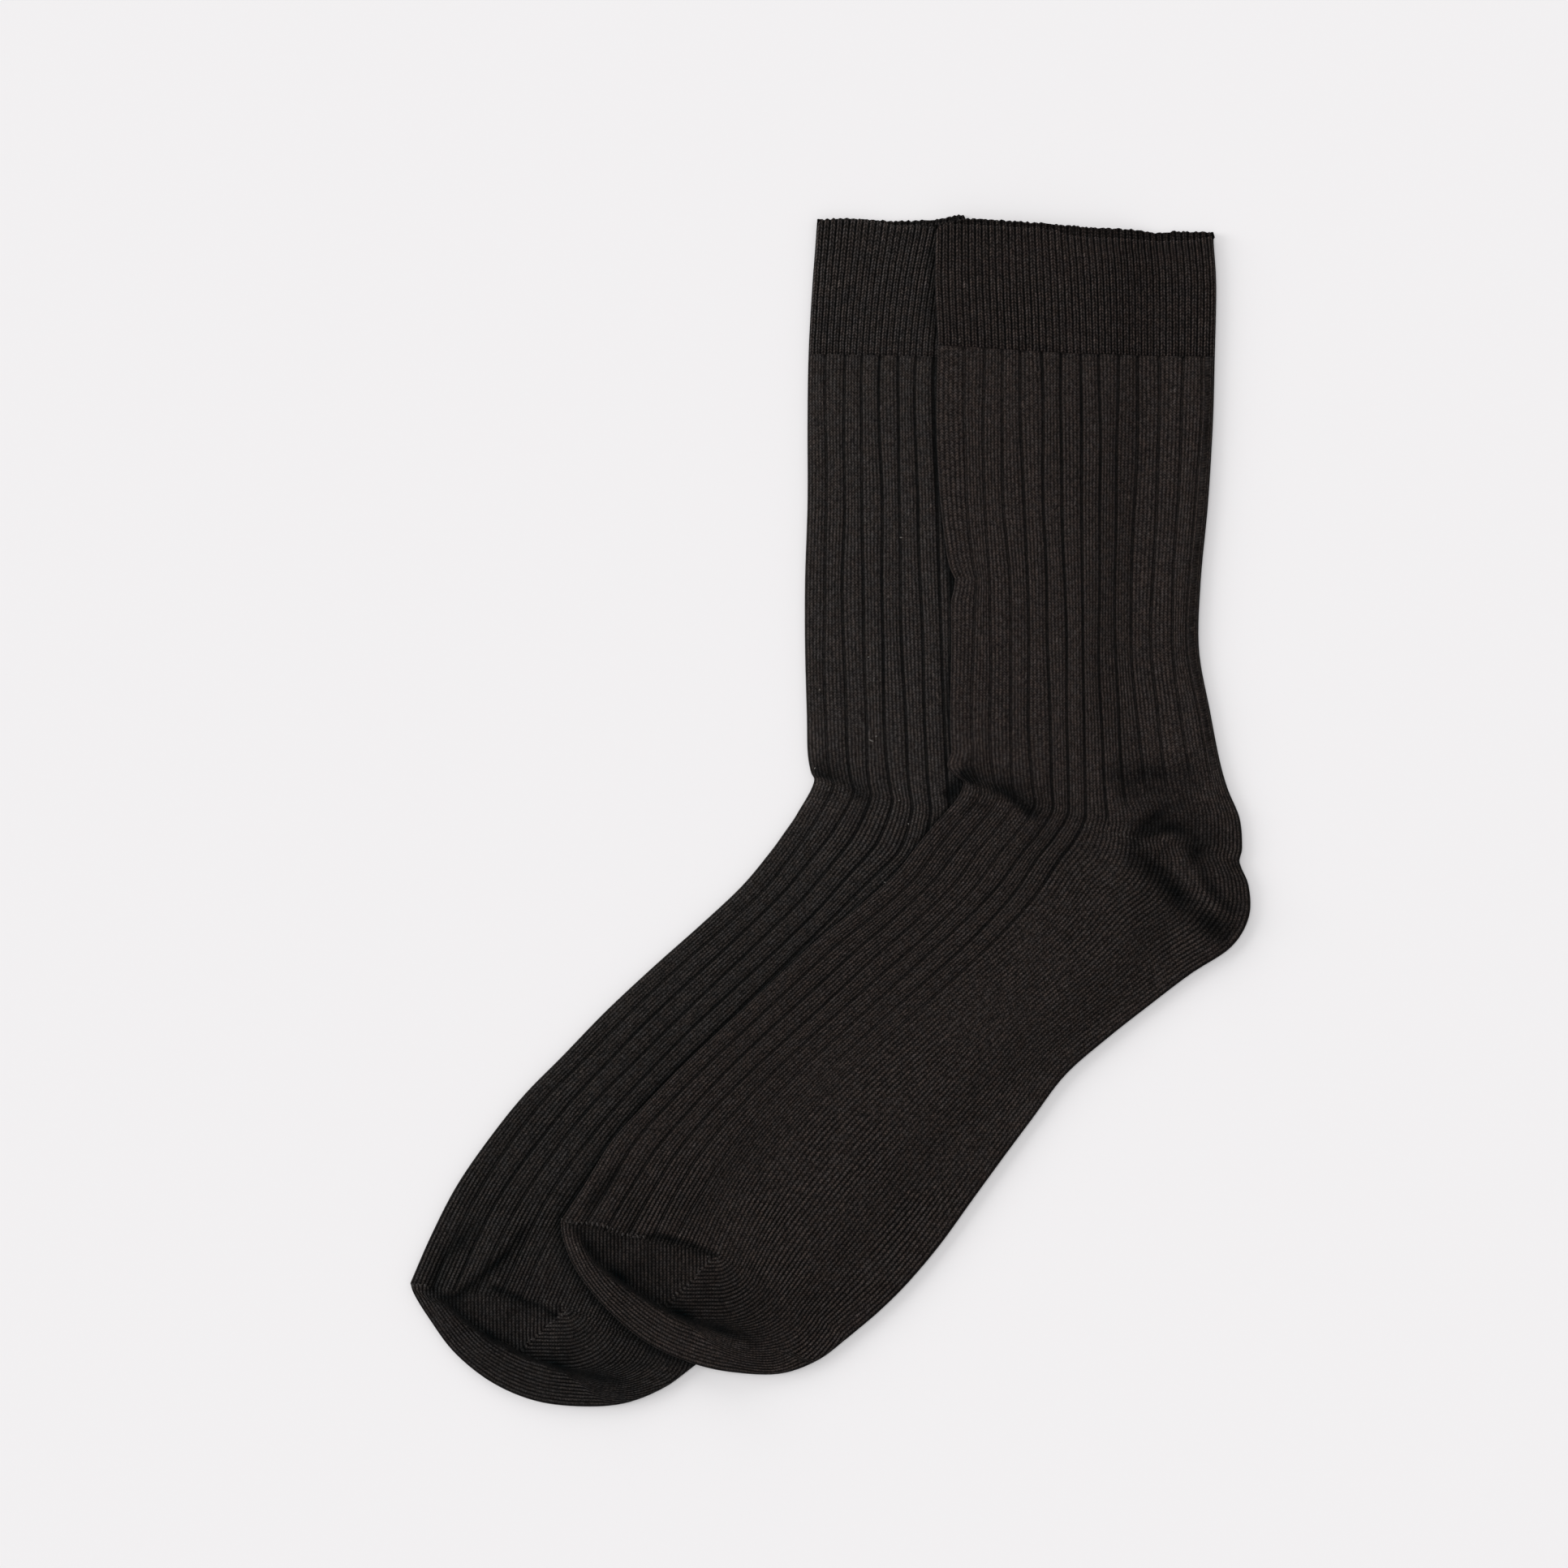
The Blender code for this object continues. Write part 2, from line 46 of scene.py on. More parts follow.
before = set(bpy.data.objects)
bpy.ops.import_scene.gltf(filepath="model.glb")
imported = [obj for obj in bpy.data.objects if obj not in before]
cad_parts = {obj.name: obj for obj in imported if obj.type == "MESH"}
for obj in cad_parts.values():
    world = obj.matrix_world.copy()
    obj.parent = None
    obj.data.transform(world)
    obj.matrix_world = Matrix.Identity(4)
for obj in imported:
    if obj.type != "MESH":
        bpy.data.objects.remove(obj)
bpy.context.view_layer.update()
MM = 0.001

# The layout is set in the frame by the low corner of the under sock's cuff.
UNDER_CUFF_CORNER = (-6.1, 128.65)
LOW_CORNER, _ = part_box("under_sock_cuff")
SHIFT = np.array([
    LOW_CORNER.x / MM - UNDER_CUFF_CORNER[0],
    LOW_CORNER.y / MM - UNDER_CUFF_CORNER[1],
    0.0,
])

# Thickness of one sock, laid flat.
CROWN = 2.95              # top of a leg rib and of plain knit
CUFF_CROWN = 3.0          # top of a cuff rib
FOLD_RADIUS = 1.6         # a folded edge rounds off within this distance
SEAM_GAP = 0.3            # between the solids of cuff and body, and of the two socks
WALL = 0.65               # cloth of one layer as it shows at the rims
STITCH_RELIEF = 0.26      # how far a stitch stands over the gap beside it

# Sections in plan: name, front fold, side line, back fold.
TOP_ROWS = (
    ("mouth", (30.0, 166.5), (69.5, 164.9), (109.4, 164.0)),
    ("cuff_middle", (29.8, 150.5), (70.6, 149.1), (110.3, 150.0)),
    ("welt", (30.5, 132.4), (71.3, 129.9), (109.9, 129.4)),
    ("leg_1", (30.3, 111.1), (71.6, 110.1), (109.4, 111.1)),
    ("leg_2", (31.4, 87.9), (71.6, 87.4), (108.0, 87.9)),
    ("leg_3", (34.0, 65.8), (71.8, 65.4), (105.9, 65.6)),
    ("leg_4", (34.5, 46.1), (72.0, 45.4), (105.4, 46.1)),
    ("leg_5", (34.2, 27.5), (72.3, 26.1), (108.5, 28.7)),
    ("ankle_1", (34.7, 16.4), (72.5, 11.8), (111.2, 14.8)),
    ("ankle_2", (35.8, 10.8), (72.7, 3.2), (113.6, 6.2)),
    ("heel_1", (37.2, 8.5), (72.7, -0.3), (117.0, -2.2)),
    ("heel_2", (37.5, 6.2), (72.5, -2.2), (117.7, -10.7)),
    ("heel_gore", (36.1, 3.4), (72.0, -3.5), (117.0, -14.9)),
    ("heel_3", (33.8, 0.6), (71.3, -5.2), (119.6, -21.6)),
    ("heel_4", (31.7, -1.7), (70.2, -7.0), (119.6, -30.5)),
    ("heel_5", (29.6, -4.0), (68.6, -9.6), (114.5, -39.0)),
    ("foot_0", (25.4, -9.1), (65.1, -14.0), (102.9, -46.7)),
    ("foot_1", (18.0, -18.4), (58.1, -24.4), (91.3, -55.5)),
    ("foot_2", (7.3, -27.9), (48.1, -35.6), (79.2, -65.0)),
    ("foot_3", (-4.8, -37.7), (37.0, -46.2), (67.2, -75.5)),
    ("foot_4", (-16.8, -49.0), (25.4, -56.4), (57.9, -87.8)),
    ("foot_5", (-29.3, -60.6), (13.3, -67.1), (49.1, -99.6)),
    ("foot_6", (-41.2, -71.8), (1.7, -77.8), (40.3, -111.7)),
    ("foot_7", (-52.3, -83.1), (-8.9, -88.9), (31.4, -124.0)),
    ("foot_8", (-62.1, -94.0), (-18.2, -101.0), (22.2, -134.9)),
    ("foot_9", (-70.4, -107.3), (-26.1, -113.5), (13.8, -143.2)),
    ("toe_seam", (-76.7, -116.8), (-32.1, -126.3), (5.5, -150.2)),
)
UNDER_ROWS = (
    ("mouth", (-3.6, 167.9), (35.6, 166.0), (76.4, 163.0)),
    ("cuff_middle", (-5.0, 150.0), (31.9, 149.6), (74.8, 149.1)),
    ("welt", (-6.1, 130.3), (29.6, 129.4), (74.1, 128.5)),
    ("leg_1", (-6.4, 111.1), (29.6, 110.6), (73.2, 110.6)),
    ("leg_2", (-6.4, 87.9), (30.5, 87.9), (71.3, 87.9)),
    ("leg_3", (-7.1, 65.8), (31.2, 65.4), (69.0, 65.6)),
    ("leg_4", (-7.1, 46.1), (31.9, 45.4), (67.6, 46.1)),
    ("leg_5", (-6.6, 27.5), (32.6, 26.1), (69.5, 28.7)),
    ("ankle_1", (-6.4, 17.1), (33.3, 11.8), (72.3, 14.8)),
    ("ankle_2", (-5.5, 11.3), (33.8, 3.2), (74.8, 6.2)),
    ("heel_1", (-4.5, 9.0), (33.8, -0.3), (78.3, -2.2)),
    ("heel_2", (-5.2, 6.4), (33.5, -2.6), (79.7, -10.7)),
    ("heel_gore", (-6.8, 3.4), (32.6, -4.9), (79.9, -16.5)),
    ("heel_3", (-8.5, 0.6), (31.4, -7.5), (81.1, -22.3)),
    ("heel_4", (-10.3, -2.4), (29.6, -10.5), (80.9, -30.5)),
    ("heel_5", (-12.9, -6.1), (27.5, -14.0), (75.7, -39.3)),
    ("foot_0", (-17.1, -11.9), (23.5, -18.9), (64.1, -47.4)),
    ("foot_1", (-25.2, -21.6), (16.1, -29.1), (51.4, -57.1)),
    ("foot_2", (-36.8, -32.5), (5.2, -40.7), (38.4, -67.6)),
    ("foot_3", (-50.2, -44.4), (-6.8, -52.7), (26.3, -79.4)),
    ("foot_4", (-64.1, -57.4), (-19.4, -64.8), (16.1, -92.2)),
    ("foot_5", (-76.2, -69.9), (-31.7, -76.9), (6.8, -104.2)),
    ("foot_6", (-87.6, -81.5), (-42.8, -88.9), (-2.4, -116.8)),
    ("foot_7", (-97.8, -94.3), (-52.8, -101.5), (-11.5, -129.5)),
    ("foot_8", (-106.8, -107.5), (-61.8, -114.4), (-21.2, -141.1)),
    ("foot_9", (-114.0, -121.6), (-69.3, -127.9), (-30.0, -149.9)),
    ("toe_seam", (-119.8, -134.9), (-75.3, -141.4), (-38.4, -158.3)),
)
NAMES = [row[0] for row in TOP_ROWS]

# The toe's folded edge between the last back fold and the last front fold.
TOP_TOE = ((-3.4, -156.9), (-14.5, -160.8), (-27.3, -160.1), (-40.0, -157.1), (-52.8, -151.1),
           (-64.4, -141.1), (-72.3, -130.9), (-76.0, -122.1))
UNDER_TOE = ((-47.4, -164.8), (-58.6, -169.2), (-70.9, -170.1), (-84.1, -168.5), (-96.6, -163.2),
             (-107.3, -154.6), (-114.7, -144.6), (-118.7, -138.1))
TOE_GORE = 0.59           # the toe's mitre, as a part of the way round its edge

# Rims of the mouth from front to back: the layer that shows, and the layer below it.
TOP_MOUTH = (
    ((30.0, 165.8), (33.5, 167.0), (44.0, 166.5), (55.0, 165.9), (64.0, 165.2), (67.6, 163.6),
     (80.0, 162.8), (95.0, 162.4), (104.0, 162.7), (109.4, 163.8)),
    ((30.0, 166.8), (38.4, 168.7), (50.0, 168.1), (63.8, 167.1), (76.0, 165.9), (87.3, 165.6),
     (92.9, 164.9), (98.5, 165.4), (109.4, 165.1)),
)
UNDER_MOUTH = (
    ((-3.6, 168.4), (5.0, 169.0), (12.4, 168.0), (18.7, 166.9), (28.0, 166.6), (37.0, 165.1),
     (76.4, 162.1)),
    ((-3.6, 168.8), (10.0, 168.8), (18.4, 168.3), (28.7, 168.6), (34.0, 169.5), (37.9, 170.2),
     (38.6, 169.5), (40.0, 167.0), (76.4, 162.6)),
)
MOUTH_REACH = 9.0         # the rims' lift dies out over this length of the cuff

# Grooves between ribs, as parts of the way from the side line to a fold.
RIBS = 7
RIB_WALES = 6             # stitch columns of a rib, with the one that its groove hides
QUARTER = RIBS * RIB_WALES          # stitch columns from the side line to a fold
PURL_WIDTH = 0.045        # half of the hidden column, in rib widths
PLAIN_WALE = 1.06         # width of a stitch in plain knit
EVEN_GROOVES = tuple(rib / RIBS for rib in range(1, RIBS))
TOP_INSTEP_GROOVES = (0.14, 0.275, 0.421, 0.545, 0.677, 0.80)
TOP_ANKLE_GROOVES = (0.127, 0.256, 0.406, 0.554, 0.712, 0.843)
TOP_HEEL_GROOVES = (0.14, 0.275, 0.42, 0.59, 0.765, 0.90)

# How deep each groove is, from the side line out to the fold.
TOP_FRONT_DEPTHS = (1.0, 1.0, 0.95, 0.9, 0.85, 0.85, 0.75, 0.0)
TOP_BACK_DEPTHS = (1.0, 0.95, 0.9, 0.8, 0.65, 0.6, 0.55, 0.0)
UNDER_DEPTHS = (1.0, 0.95, 0.9, 1.0, 0.85, 0.9, 0.7, 0.0)
# How much of each instep groove is left, from the ankle down to the toe seam.
TOP_FADE = (
    ("leg_5", (1.0, 1.0, 1.0, 0.9, 0.75, 0.65, 0.7, 1.0)),
    ("heel_gore", (0.95, 0.95, 0.85, 0.6, 0.4, 0.4, 0.6, 1.0)),
    ("foot_1", (0.9, 0.95, 0.85, 0.6, 0.55, 0.7, 0.8, 1.0)),
    ("foot_4", (0.3, 0.5, 0.6, 0.8, 0.9, 0.95, 1.0, 1.0)),
    ("foot_6", (0.1, 0.2, 0.3, 0.55, 0.8, 0.95, 1.0, 1.0)),
    ("foot_8", (0.0, 0.1, 0.25, 0.45, 0.7, 0.95, 1.0, 1.0)),
    ("toe_seam", (0.0, 0.1, 0.35, 0.55, 0.7, 0.85, 0.9, 1.0)),
)
UNDER_FADE = (
    ("leg_5", (1.0, 1.0, 1.0, 1.0, 0.95, 0.9, 0.9, 1.0)),
    ("heel_gore", (1.0, 1.0, 0.95, 0.95, 0.95, 0.9, 0.8, 1.0)),
    ("foot_1", (0.9, 0.95, 1.0, 1.0, 1.0, 1.0, 0.9, 1.0)),
    ("foot_4", (0.3, 0.6, 0.8, 1.0, 1.0, 1.0, 1.0, 1.0)),
    ("foot_6", (0.1, 0.3, 0.5, 0.75, 0.95, 1.0, 1.0, 1.0)),
    ("foot_8", (0.0, 0.1, 0.3, 0.5, 0.75, 0.95, 1.0, 1.0)),
    ("toe_seam", (0.0, 0.1, 0.35, 0.55, 0.7, 0.85, 0.9, 1.0)),
)
# Where each rib of the heel side ends, as a place in the section table, and how fast it fades.
HEEL_RIB_ENDS = (12.0, 10.6, 9.4, 8.9, 8.8, 8.7, 8.7, 8.7)
HEEL_RIB_FADE = 1.1
HEEL_RIB_LEFT = 0.35      # part of that fade that lies past the rib's end
HEEL_EVENS_OUT = 3.0      # sections below the ankle over which the grooves spread evenly
GROOVE_WAVER = 0.006      # grooves stray from an even line by this part of the way
GROOVE_RELIEF = 0.8       # depth of a full groove
GROOVE_CORE = 0.062       # half width of its narrow bottom, in rib widths
GROOVE_SLOPE = 0.2        # half width of its shoulders
CORE_DEPTH = 0.8          # parts of its depth that bottom and shoulders take
SLOPE_DEPTH = 0.2
RIB_SWELL = 0.12          # a rib's middle stands this much over its sides
UNDER_RELIEF = 0.3        # ribs pressed against the surface below

# Where points lie across a rib, and how far in from a fold.
RIB_STEPS = (0.0, 0.04, 0.08, 0.14, 0.23, 0.36, 0.5, 0.64, 0.77, 0.86, 0.92, 0.96)
RIB_STEPS_UNDER = (0.0, 0.15, 0.85)
LAST_RIB_STEPS = (0.0, 0.06, 0.14, 0.3)
FOLD_STEPS = (3.0, 2.2, 1.5, 0.95, 0.5, 0.2, 0.04, 0.0)
FOLD_CLEAR = 0.2          # the first fold step stays this part of the way past the last rib step
LAYERS = ((RIB_STEPS, True), (RIB_STEPS_UNDER, False))      # steps of a layer, and if it shows
EDGE_SHADE = 0.25         # shade of a folded edge that faces the low light
FAR_EDGE_SHADE = 0.35     # what an edge that faces away from it adds
EDGE_REACH = 0.6          # how far in that shade reaches
# Length of cloth between sections: finer where the creases are.
BODY_ROW_STEPS = (("welt", 3.2), ("leg_4", 3.2), ("leg_5", 2.0), ("ankle_1", 1.2), ("heel_5", 1.3),
                  ("foot_1", 2.6), ("foot_7", 2.6), ("foot_9", 1.1), ("toe_seam", 0.9))
TOE_RAYS = 58             # sections of the toe pocket's fan
LIP_CLEAR = 0.6           # the toe's lip has a clear border along this part of its length
LIP_BORDER = 0.8          # width of that border
LIP_BLEND = 20.0          # how much wider it gets where the lip runs out


def mirrored(*rows):
    """A table across a crease that is alike on both sides, from its outer end to its middle."""
    right = tuple((-distance, height, shade) for distance, height, shade in rows[:-1])
    return right + rows[-1:] + rows[-2::-1]


# Creases: name, line, fades at its ends, and a table across it from its right-hand side to its
# left: distance, height, and painted shade (below zero, painted light).
TOP_CREASES = (
    ("toe lip",
     ((-75.2, -114.5), (-73.6, -117.8), (-71.4, -121.6), (-69.4, -125.0), (-66.8, -128.4),
      (-63.5, -131.3), (-59.8, -133.9), (-52.4, -138.9), (-46.8, -142.1), (-41.0, -144.8),
      (-33.3, -147.9), (-24.5, -150.8), (-16.0, -153.6)), (11.0, 18.0),
     ((-9.0, 0.0, 0.0), (-7.0, 0.9, -0.02), (-4.0, 1.8, -0.06), (-1.6, 2.0, -0.06),
      (-0.6, 1.7, 0.05), (0.0, 0.6, 0.75), (0.5, 0.1, 1.12), (1.7, 0.0, 1.05), (2.9, 0.2, 0.7),
      (4.4, 0.8, 0.4), (6.0, 1.3, 0.26), (9.0, 1.5, 0.14), (14.0, 0.9, 0.06), (20.0, 0.0, 0.0))),
    ("toe box side",
     ((-71.5, -116.5), (-69.5, -121.0), (-65.5, -126.5), (-60.0, -131.0)), (3.0, 8.0),
     ((-2.5, 0.0, 0.0), (0.0, 0.0, 0.15), (2.5, -0.1, 0.25), (5.0, 0.1, 0.15), (8.0, 0.0, 0.0))),
    ("toe box",
     ((-66.0, -121.0), (-56.0, -128.0), (-45.0, -133.0), (-34.0, -137.0), (-22.0, -141.0),
      (-10.0, -146.0)), (6.0, 14.0),
     mirrored((12.0, 0.0, 0.0), (6.0, 0.0, 0.3), (0.0, 0.0, 0.4))),
    ("toe seam edge",
     ((-77.0, -116.6), (-73.5, -117.1), (-67.1, -117.5), (-63.6, -118.2), (-59.7, -119.6),
      (-57.0, -120.8), (-53.0, -121.0)), (1.0, 4.0),
     ((-3.5, 0.0, 0.0), (-1.6, -0.1, 0.25), (-0.6, -0.1, 0.5), (0.0, 0.1, 0.3), (0.6, 0.3, 0.0),
      (1.4, 0.2, 0.1), (3.0, 0.0, 0.0))),
    ("toe seam fold",
     ((-55.0, -121.2), (-51.7, -120.8), (-47.8, -120.8), (-43.8, -122.0), (-39.9, -123.2),
      (-35.9, -124.7), (-32.9, -126.2), (-32.2, -127.6)), (3.0, 1.5),
     ((-6.0, 0.2, 0.0), (-3.5, 0.1, 0.1), (-1.6, -0.1, 0.4), (-0.7, -0.2, 0.95), (0.2, 0.0, 0.95),
      (0.8, 0.9, 0.15), (1.7, 1.2, -0.3), (3.0, 0.9, -0.12), (6.0, 0.2, 0.0), (8.0, 0.0, 0.0))),
    ("instep groove by the seam",
     ((-70.5, -115.0), (-67.0, -110.5), (-63.0, -105.5), (-58.0, -99.0)), (2.0, 8.0),
     ((-3.0, 0.0, 0.0), (-1.2, -0.2, 0.45), (0.0, -0.4, 0.7), (1.2, -0.2, 0.4), (3.0, 0.0, 0.0))),
    ("instep hollow",
     ((-45.0, -121.0), (-40.0, -116.0), (-33.0, -107.0), (-24.0, -97.0), (-12.0, -84.0)), (5.0, 14.0),
     mirrored((8.0, 0.0, 0.0), (4.0, 0.1, 0.12), (0.0, -0.1, 0.25))),
    ("instep hollow by the fold",
     ((-60.0, -118.0), (-56.0, -112.0), (-50.0, -105.0)), (4.0, 6.0),
     mirrored((5.0, 0.0, 0.0), (0.0, -0.1, 0.22))),
    ("ankle",
     ((35.8, 9.7), (37.2, 9.1), (39.0, 8.1), (41.0, 7.1), (43.8, 6.4), (46.5, 5.3), (48.9, 4.5),
      (51.2, 3.0), (53.1, 1.3), (55.2, -0.8), (58.0, -2.2), (61.5, -2.5), (65.0, -2.2)), (0.8, 9.0),
     ((-12.0, 0.0, 0.0), (-6.0, 1.0, 0.0), (-2.5, 1.7, -0.14), (-0.9, 1.5, 0.0), (0.0, 0.5, 0.6),
      (0.8, 0.0, 0.95), (2.4, 0.1, 0.78), (4.4, 0.5, 0.42), (8.0, 1.1, 0.1), (12.0, 0.6, 0.0),
      (18.0, 0.0, 0.0))),
    ("ankle dimples",
     ((36.5, -1.0), (39.0, 1.0), (43.0, 1.2), (47.5, 0.6)), (1.0, 3.0),
     mirrored((2.6, 0.0, 0.0), (0.0, -0.2, 0.4))),
    ("rib ends over the heel",
     ((77.0, 6.2), (81.5, 7.6), (86.0, 7.0), (91.0, 8.6), (96.0, 7.9), (101.0, 9.6), (109.0, 10.6)),
     (6.0, 9.0),
     ((-8.0, 0.4, -0.04), (-5.0, 0.3, 0.1), (-2.8, -0.1, 0.5), (-0.6, 0.2, 0.42), (1.8, -0.1, 0.7),
      (4.2, 0.2, 0.4), (7.5, 0.4, 0.0), (10.0, 0.0, 0.0))),
    ("heel upper fold",
     ((83.5, -9.4), (86.0, -8.6), (87.8, -7.0), (89.4, -4.8), (91.7, -2.6), (94.5, -0.6),
      (97.9, 1.0), (101.5, 2.0), (105.5, 2.6)), (3.0, 6.0),
     ((-6.0, 0.5, 0.0), (-3.4, 0.9, 0.05), (-2.0, 0.5, 0.35), (-0.6, 0.1, 0.8), (0.6, 0.0, 0.8),
      (1.9, 0.3, 0.42), (3.6, 0.7, 0.12), (8.0, 0.3, 0.0), (11.0, 0.0, 0.0))),
    ("heel hook",
     ((88.8, -7.9), (92.0, -6.3), (95.5, -5.3), (99.2, -5.4), (102.1, -6.7), (103.8, -9.2),
      (104.9, -12.2), (105.9, -15.4)), (2.0, 5.0),
     ((-6.0, 0.2, 0.0), (-4.2, 1.0, -0.3), (-2.6, 1.2, -0.2), (-1.3, 0.8, 0.45), (-0.2, 0.1, 0.9),
      (1.0, 0.0, 0.8), (2.6, 0.3, 0.4), (5.0, 0.5, 0.1), (9.0, 0.0, 0.0))),
    ("heel ridge",
     ((96.2, -7.6), (97.1, -8.5), (99.6, -11.3), (102.2, -14.0), (104.2, -17.3), (105.9, -20.9),
      (107.8, -24.2), (110.3, -27.2), (113.2, -29.6), (116.3, -31.6)), (9.0, 2.5),
     ((-4.5, 0.0, 0.0), (-2.5, 1.1, -0.04), (-0.7, 2.0, -0.1), (0.0, 2.1, 0.1), (0.8, 1.5, 0.6),
      (1.8, 0.9, 0.7), (3.2, 0.7, 0.4), (5.5, 0.7, 0.16), (9.0, 0.5, 0.05), (15.0, 0.0, 0.0))),
    ("lower heel hollow",
     ((82.0, -9.5), (85.4, -11.3), (88.8, -13.3), (92.1, -15.8), (95.1, -18.8), (98.8, -22.5),
      (102.1, -26.3), (105.5, -29.2), (108.8, -31.7), (112.2, -33.8), (115.5, -35.7)), (6.0, 2.0),
     ((-13.0, 0.0, 0.0), (-8.0, 1.2, -0.06), (-5.4, 1.5, 0.05), (-3.6, 1.1, 0.45), (-1.8, 0.3, 0.82),
      (0.0, 0.0, 0.88), (1.4, 0.2, 0.66), (2.6, 0.8, 0.25), (3.8, 1.1, -0.05), (6.0, 0.0, 0.0))),
    ("heel pocket",
     ((98.0, -3.0), (103.0, -7.5), (107.0, -15.0)), (5.0, 6.0),
     ((-7.0, 0.0, 0.0), (-3.0, 0.0, 0.26), (0.0, 0.0, 0.42), (5.0, 0.0, 0.4), (12.0, 0.0, 0.0))),
    ("heel notch",
     ((118.6, -14.0), (115.5, -15.6), (111.5, -18.4)), (0.5, 4.0),
     mirrored((4.0, 0.0, 0.0), (1.6, 0.5, 0.1), (0.0, 0.0, 0.5))),
    ("sole wave",
     ((58.0, -78.0), (66.0, -69.0), (76.0, -60.0), (84.0, -54.0)), (8.0, 8.0),
     ((-9.0, 0.0, 0.0), (-3.5, 0.35, 0.0), (0.0, 0.05, 0.12), (4.0, 0.35, 0.0), (10.0, 0.0, 0.0))),
    ("sole hollow under the heel",
     ((84.0, -22.0), (89.5, -29.0), (93.5, -38.0)), (5.0, 6.0),
     mirrored((6.0, 0.0, 0.0), (0.0, -0.1, 0.2))),
)
UNDER_CREASES = (
    ("toe lip",
     ((-117.0, -137.6), (-113.6, -139.4), (-110.1, -140.2), (-107.1, -142.8), (-103.0, -146.3),
      (-98.9, -149.3), (-95.4, -151.6), (-92.4, -152.7), (-88.3, -155.0), (-83.6, -156.9),
      (-77.7, -158.9), (-71.3, -161.0), (-65.4, -162.8), (-57.7, -164.6), (-50.0, -166.0)), (9.0, 20.0),
     ((-8.0, 0.0, 0.0), (-5.8, 0.8, 0.02), (-3.2, 1.6, 0.0), (-1.4, 1.7, 0.02), (-0.6, 1.4, 0.08),
      (0.0, 0.5, 0.7), (0.6, 0.1, 1.15), (1.5, 0.1, 0.95), (2.6, 0.3, 0.52), (4.5, 0.8, 0.32),
      (6.5, 1.2, 0.24), (9.0, 1.3, 0.16), (14.0, 0.8, 0.06), (20.0, 0.0, 0.0))),
    ("rib bulge over the toe seam",
     ((-111.6, -138.0), (-109.0, -138.8), (-106.6, -138.2), (-104.7, -136.8), (-100.8, -133.7),
      (-98.3, -131.7), (-95.2, -128.7), (-92.0, -125.8), (-90.0, -123.1), (-88.0, -119.9),
      (-84.0, -115.5)), (2.0, 9.0),
     ((-6.0, 0.2, 0.0), (-3.0, 0.1, 0.08), (-1.3, -0.1, 0.45), (-0.4, -0.2, 1.05), (0.3, 0.3, 0.85),
      (0.9, 1.0, 0.0), (2.0, 1.4, -0.3), (3.6, 1.1, -0.15), (7.0, 0.2, 0.0), (9.0, 0.0, 0.0))),
    ("rib groove by the front fold",
     ((-112.8, -138.4), (-112.4, -134.0), (-110.4, -129.3), (-107.0, -124.8), (-103.3, -120.3),
      (-98.5, -114.6)), (1.0, 9.0),
     ((-3.0, 0.0, 0.0), (-1.5, 0.1, 0.45), (0.0, -0.4, 0.9), (1.4, 0.1, 0.5), (3.0, 0.2, 0.0))),
    ("toe box side",
     ((-105.2, -137.2), (-105.0, -139.6), (-104.6, -142.4)), (1.0, 1.0),
     mirrored((1.6, 0.0, 0.0), (0.6, 0.0, 0.35), (0.0, -0.1, 0.6))),
    # Painted light on the toe box's bulge.
    ("toe box bulge",
     ((-88.5, -147.5), (-80.7, -149.6), (-75.0, -149.5)), (4.0, 4.0),
     mirrored((6.0, 0.0, 0.0), (0.0, 0.5, -0.4))),
    ("shadow in the notch of the top sock",
     ((36.8, 9.6), (35.2, 6.6), (32.2, 2.2)), (0.5, 2.5),
     ((-2.4, 0.0, 0.0), (-1.3, 0.0, 0.75), (0.0, 0.0, 1.0), (1.6, 0.0, 0.9), (2.4, 0.0, 0.0))),
    ("toe seam fold",
     ((-97.5, -135.4), (-95.4, -135.8), (-90.7, -137.5), (-86.0, -139.9), (-81.3, -141.6),
      (-78.9, -143.2), (-77.0, -143.4)), (2.0, 1.0),
     ((-6.0, 0.2, 0.0), (-3.5, 0.1, 0.1), (-1.4, 0.0, 0.45), (-0.6, -0.1, 1.05), (0.2, 0.1, 0.95),
      (0.8, 0.6, 0.1), (1.6, 0.8, -0.3), (3.0, 0.6, -0.1), (6.0, 0.1, 0.0), (8.0, 0.0, 0.0))),
    ("ankle",
     ((-7.6, 11.0), (-6.0, 10.5), (-2.3, 9.3), (1.5, 8.6), (4.8, 6.8), (7.8, 3.8), (10.7, 1.4),
      (15.0, -2.0)), (1.5, 12.0),
     ((-11.0, 0.0, 0.0), (-5.5, 0.9, 0.0), (-2.2, 1.5, -0.1), (-0.8, 1.2, 0.05), (0.0, 0.4, 0.5),
      (0.8, 0.0, 0.75), (2.4, 0.1, 0.5), (4.6, 0.5, 0.25), (8.0, 1.0, 0.0), (11.0, 0.6, 0.0),
      (18.0, 0.0, 0.0))),
)
# Painted shade that makes the knit darker than the leg: section, shade. The last row is the toe
# pocket's.
TOP_PAINTED_SHADES = (("welt", 0.0), ("ankle_1", 0.0), ("heel_2", 0.22), ("heel_5", 0.2), ("foot_2", 0.15),
             ("toe_seam", 0.18))
UNDER_PAINTED_SHADES = (("welt", 0.0), ("ankle_1", 0.04), ("heel_2", 0.1), ("heel_5", 0.2), ("foot_2", 0.28),
               ("toe_seam", 0.47))
FOLD_CALM = 4.0           # creases die out over this distance towards a folded edge
SHADE_CALM = 0.8          # and their shade over this one
CREASE_SOFTNESS = 0.35    # rounds the corners of a crease's table
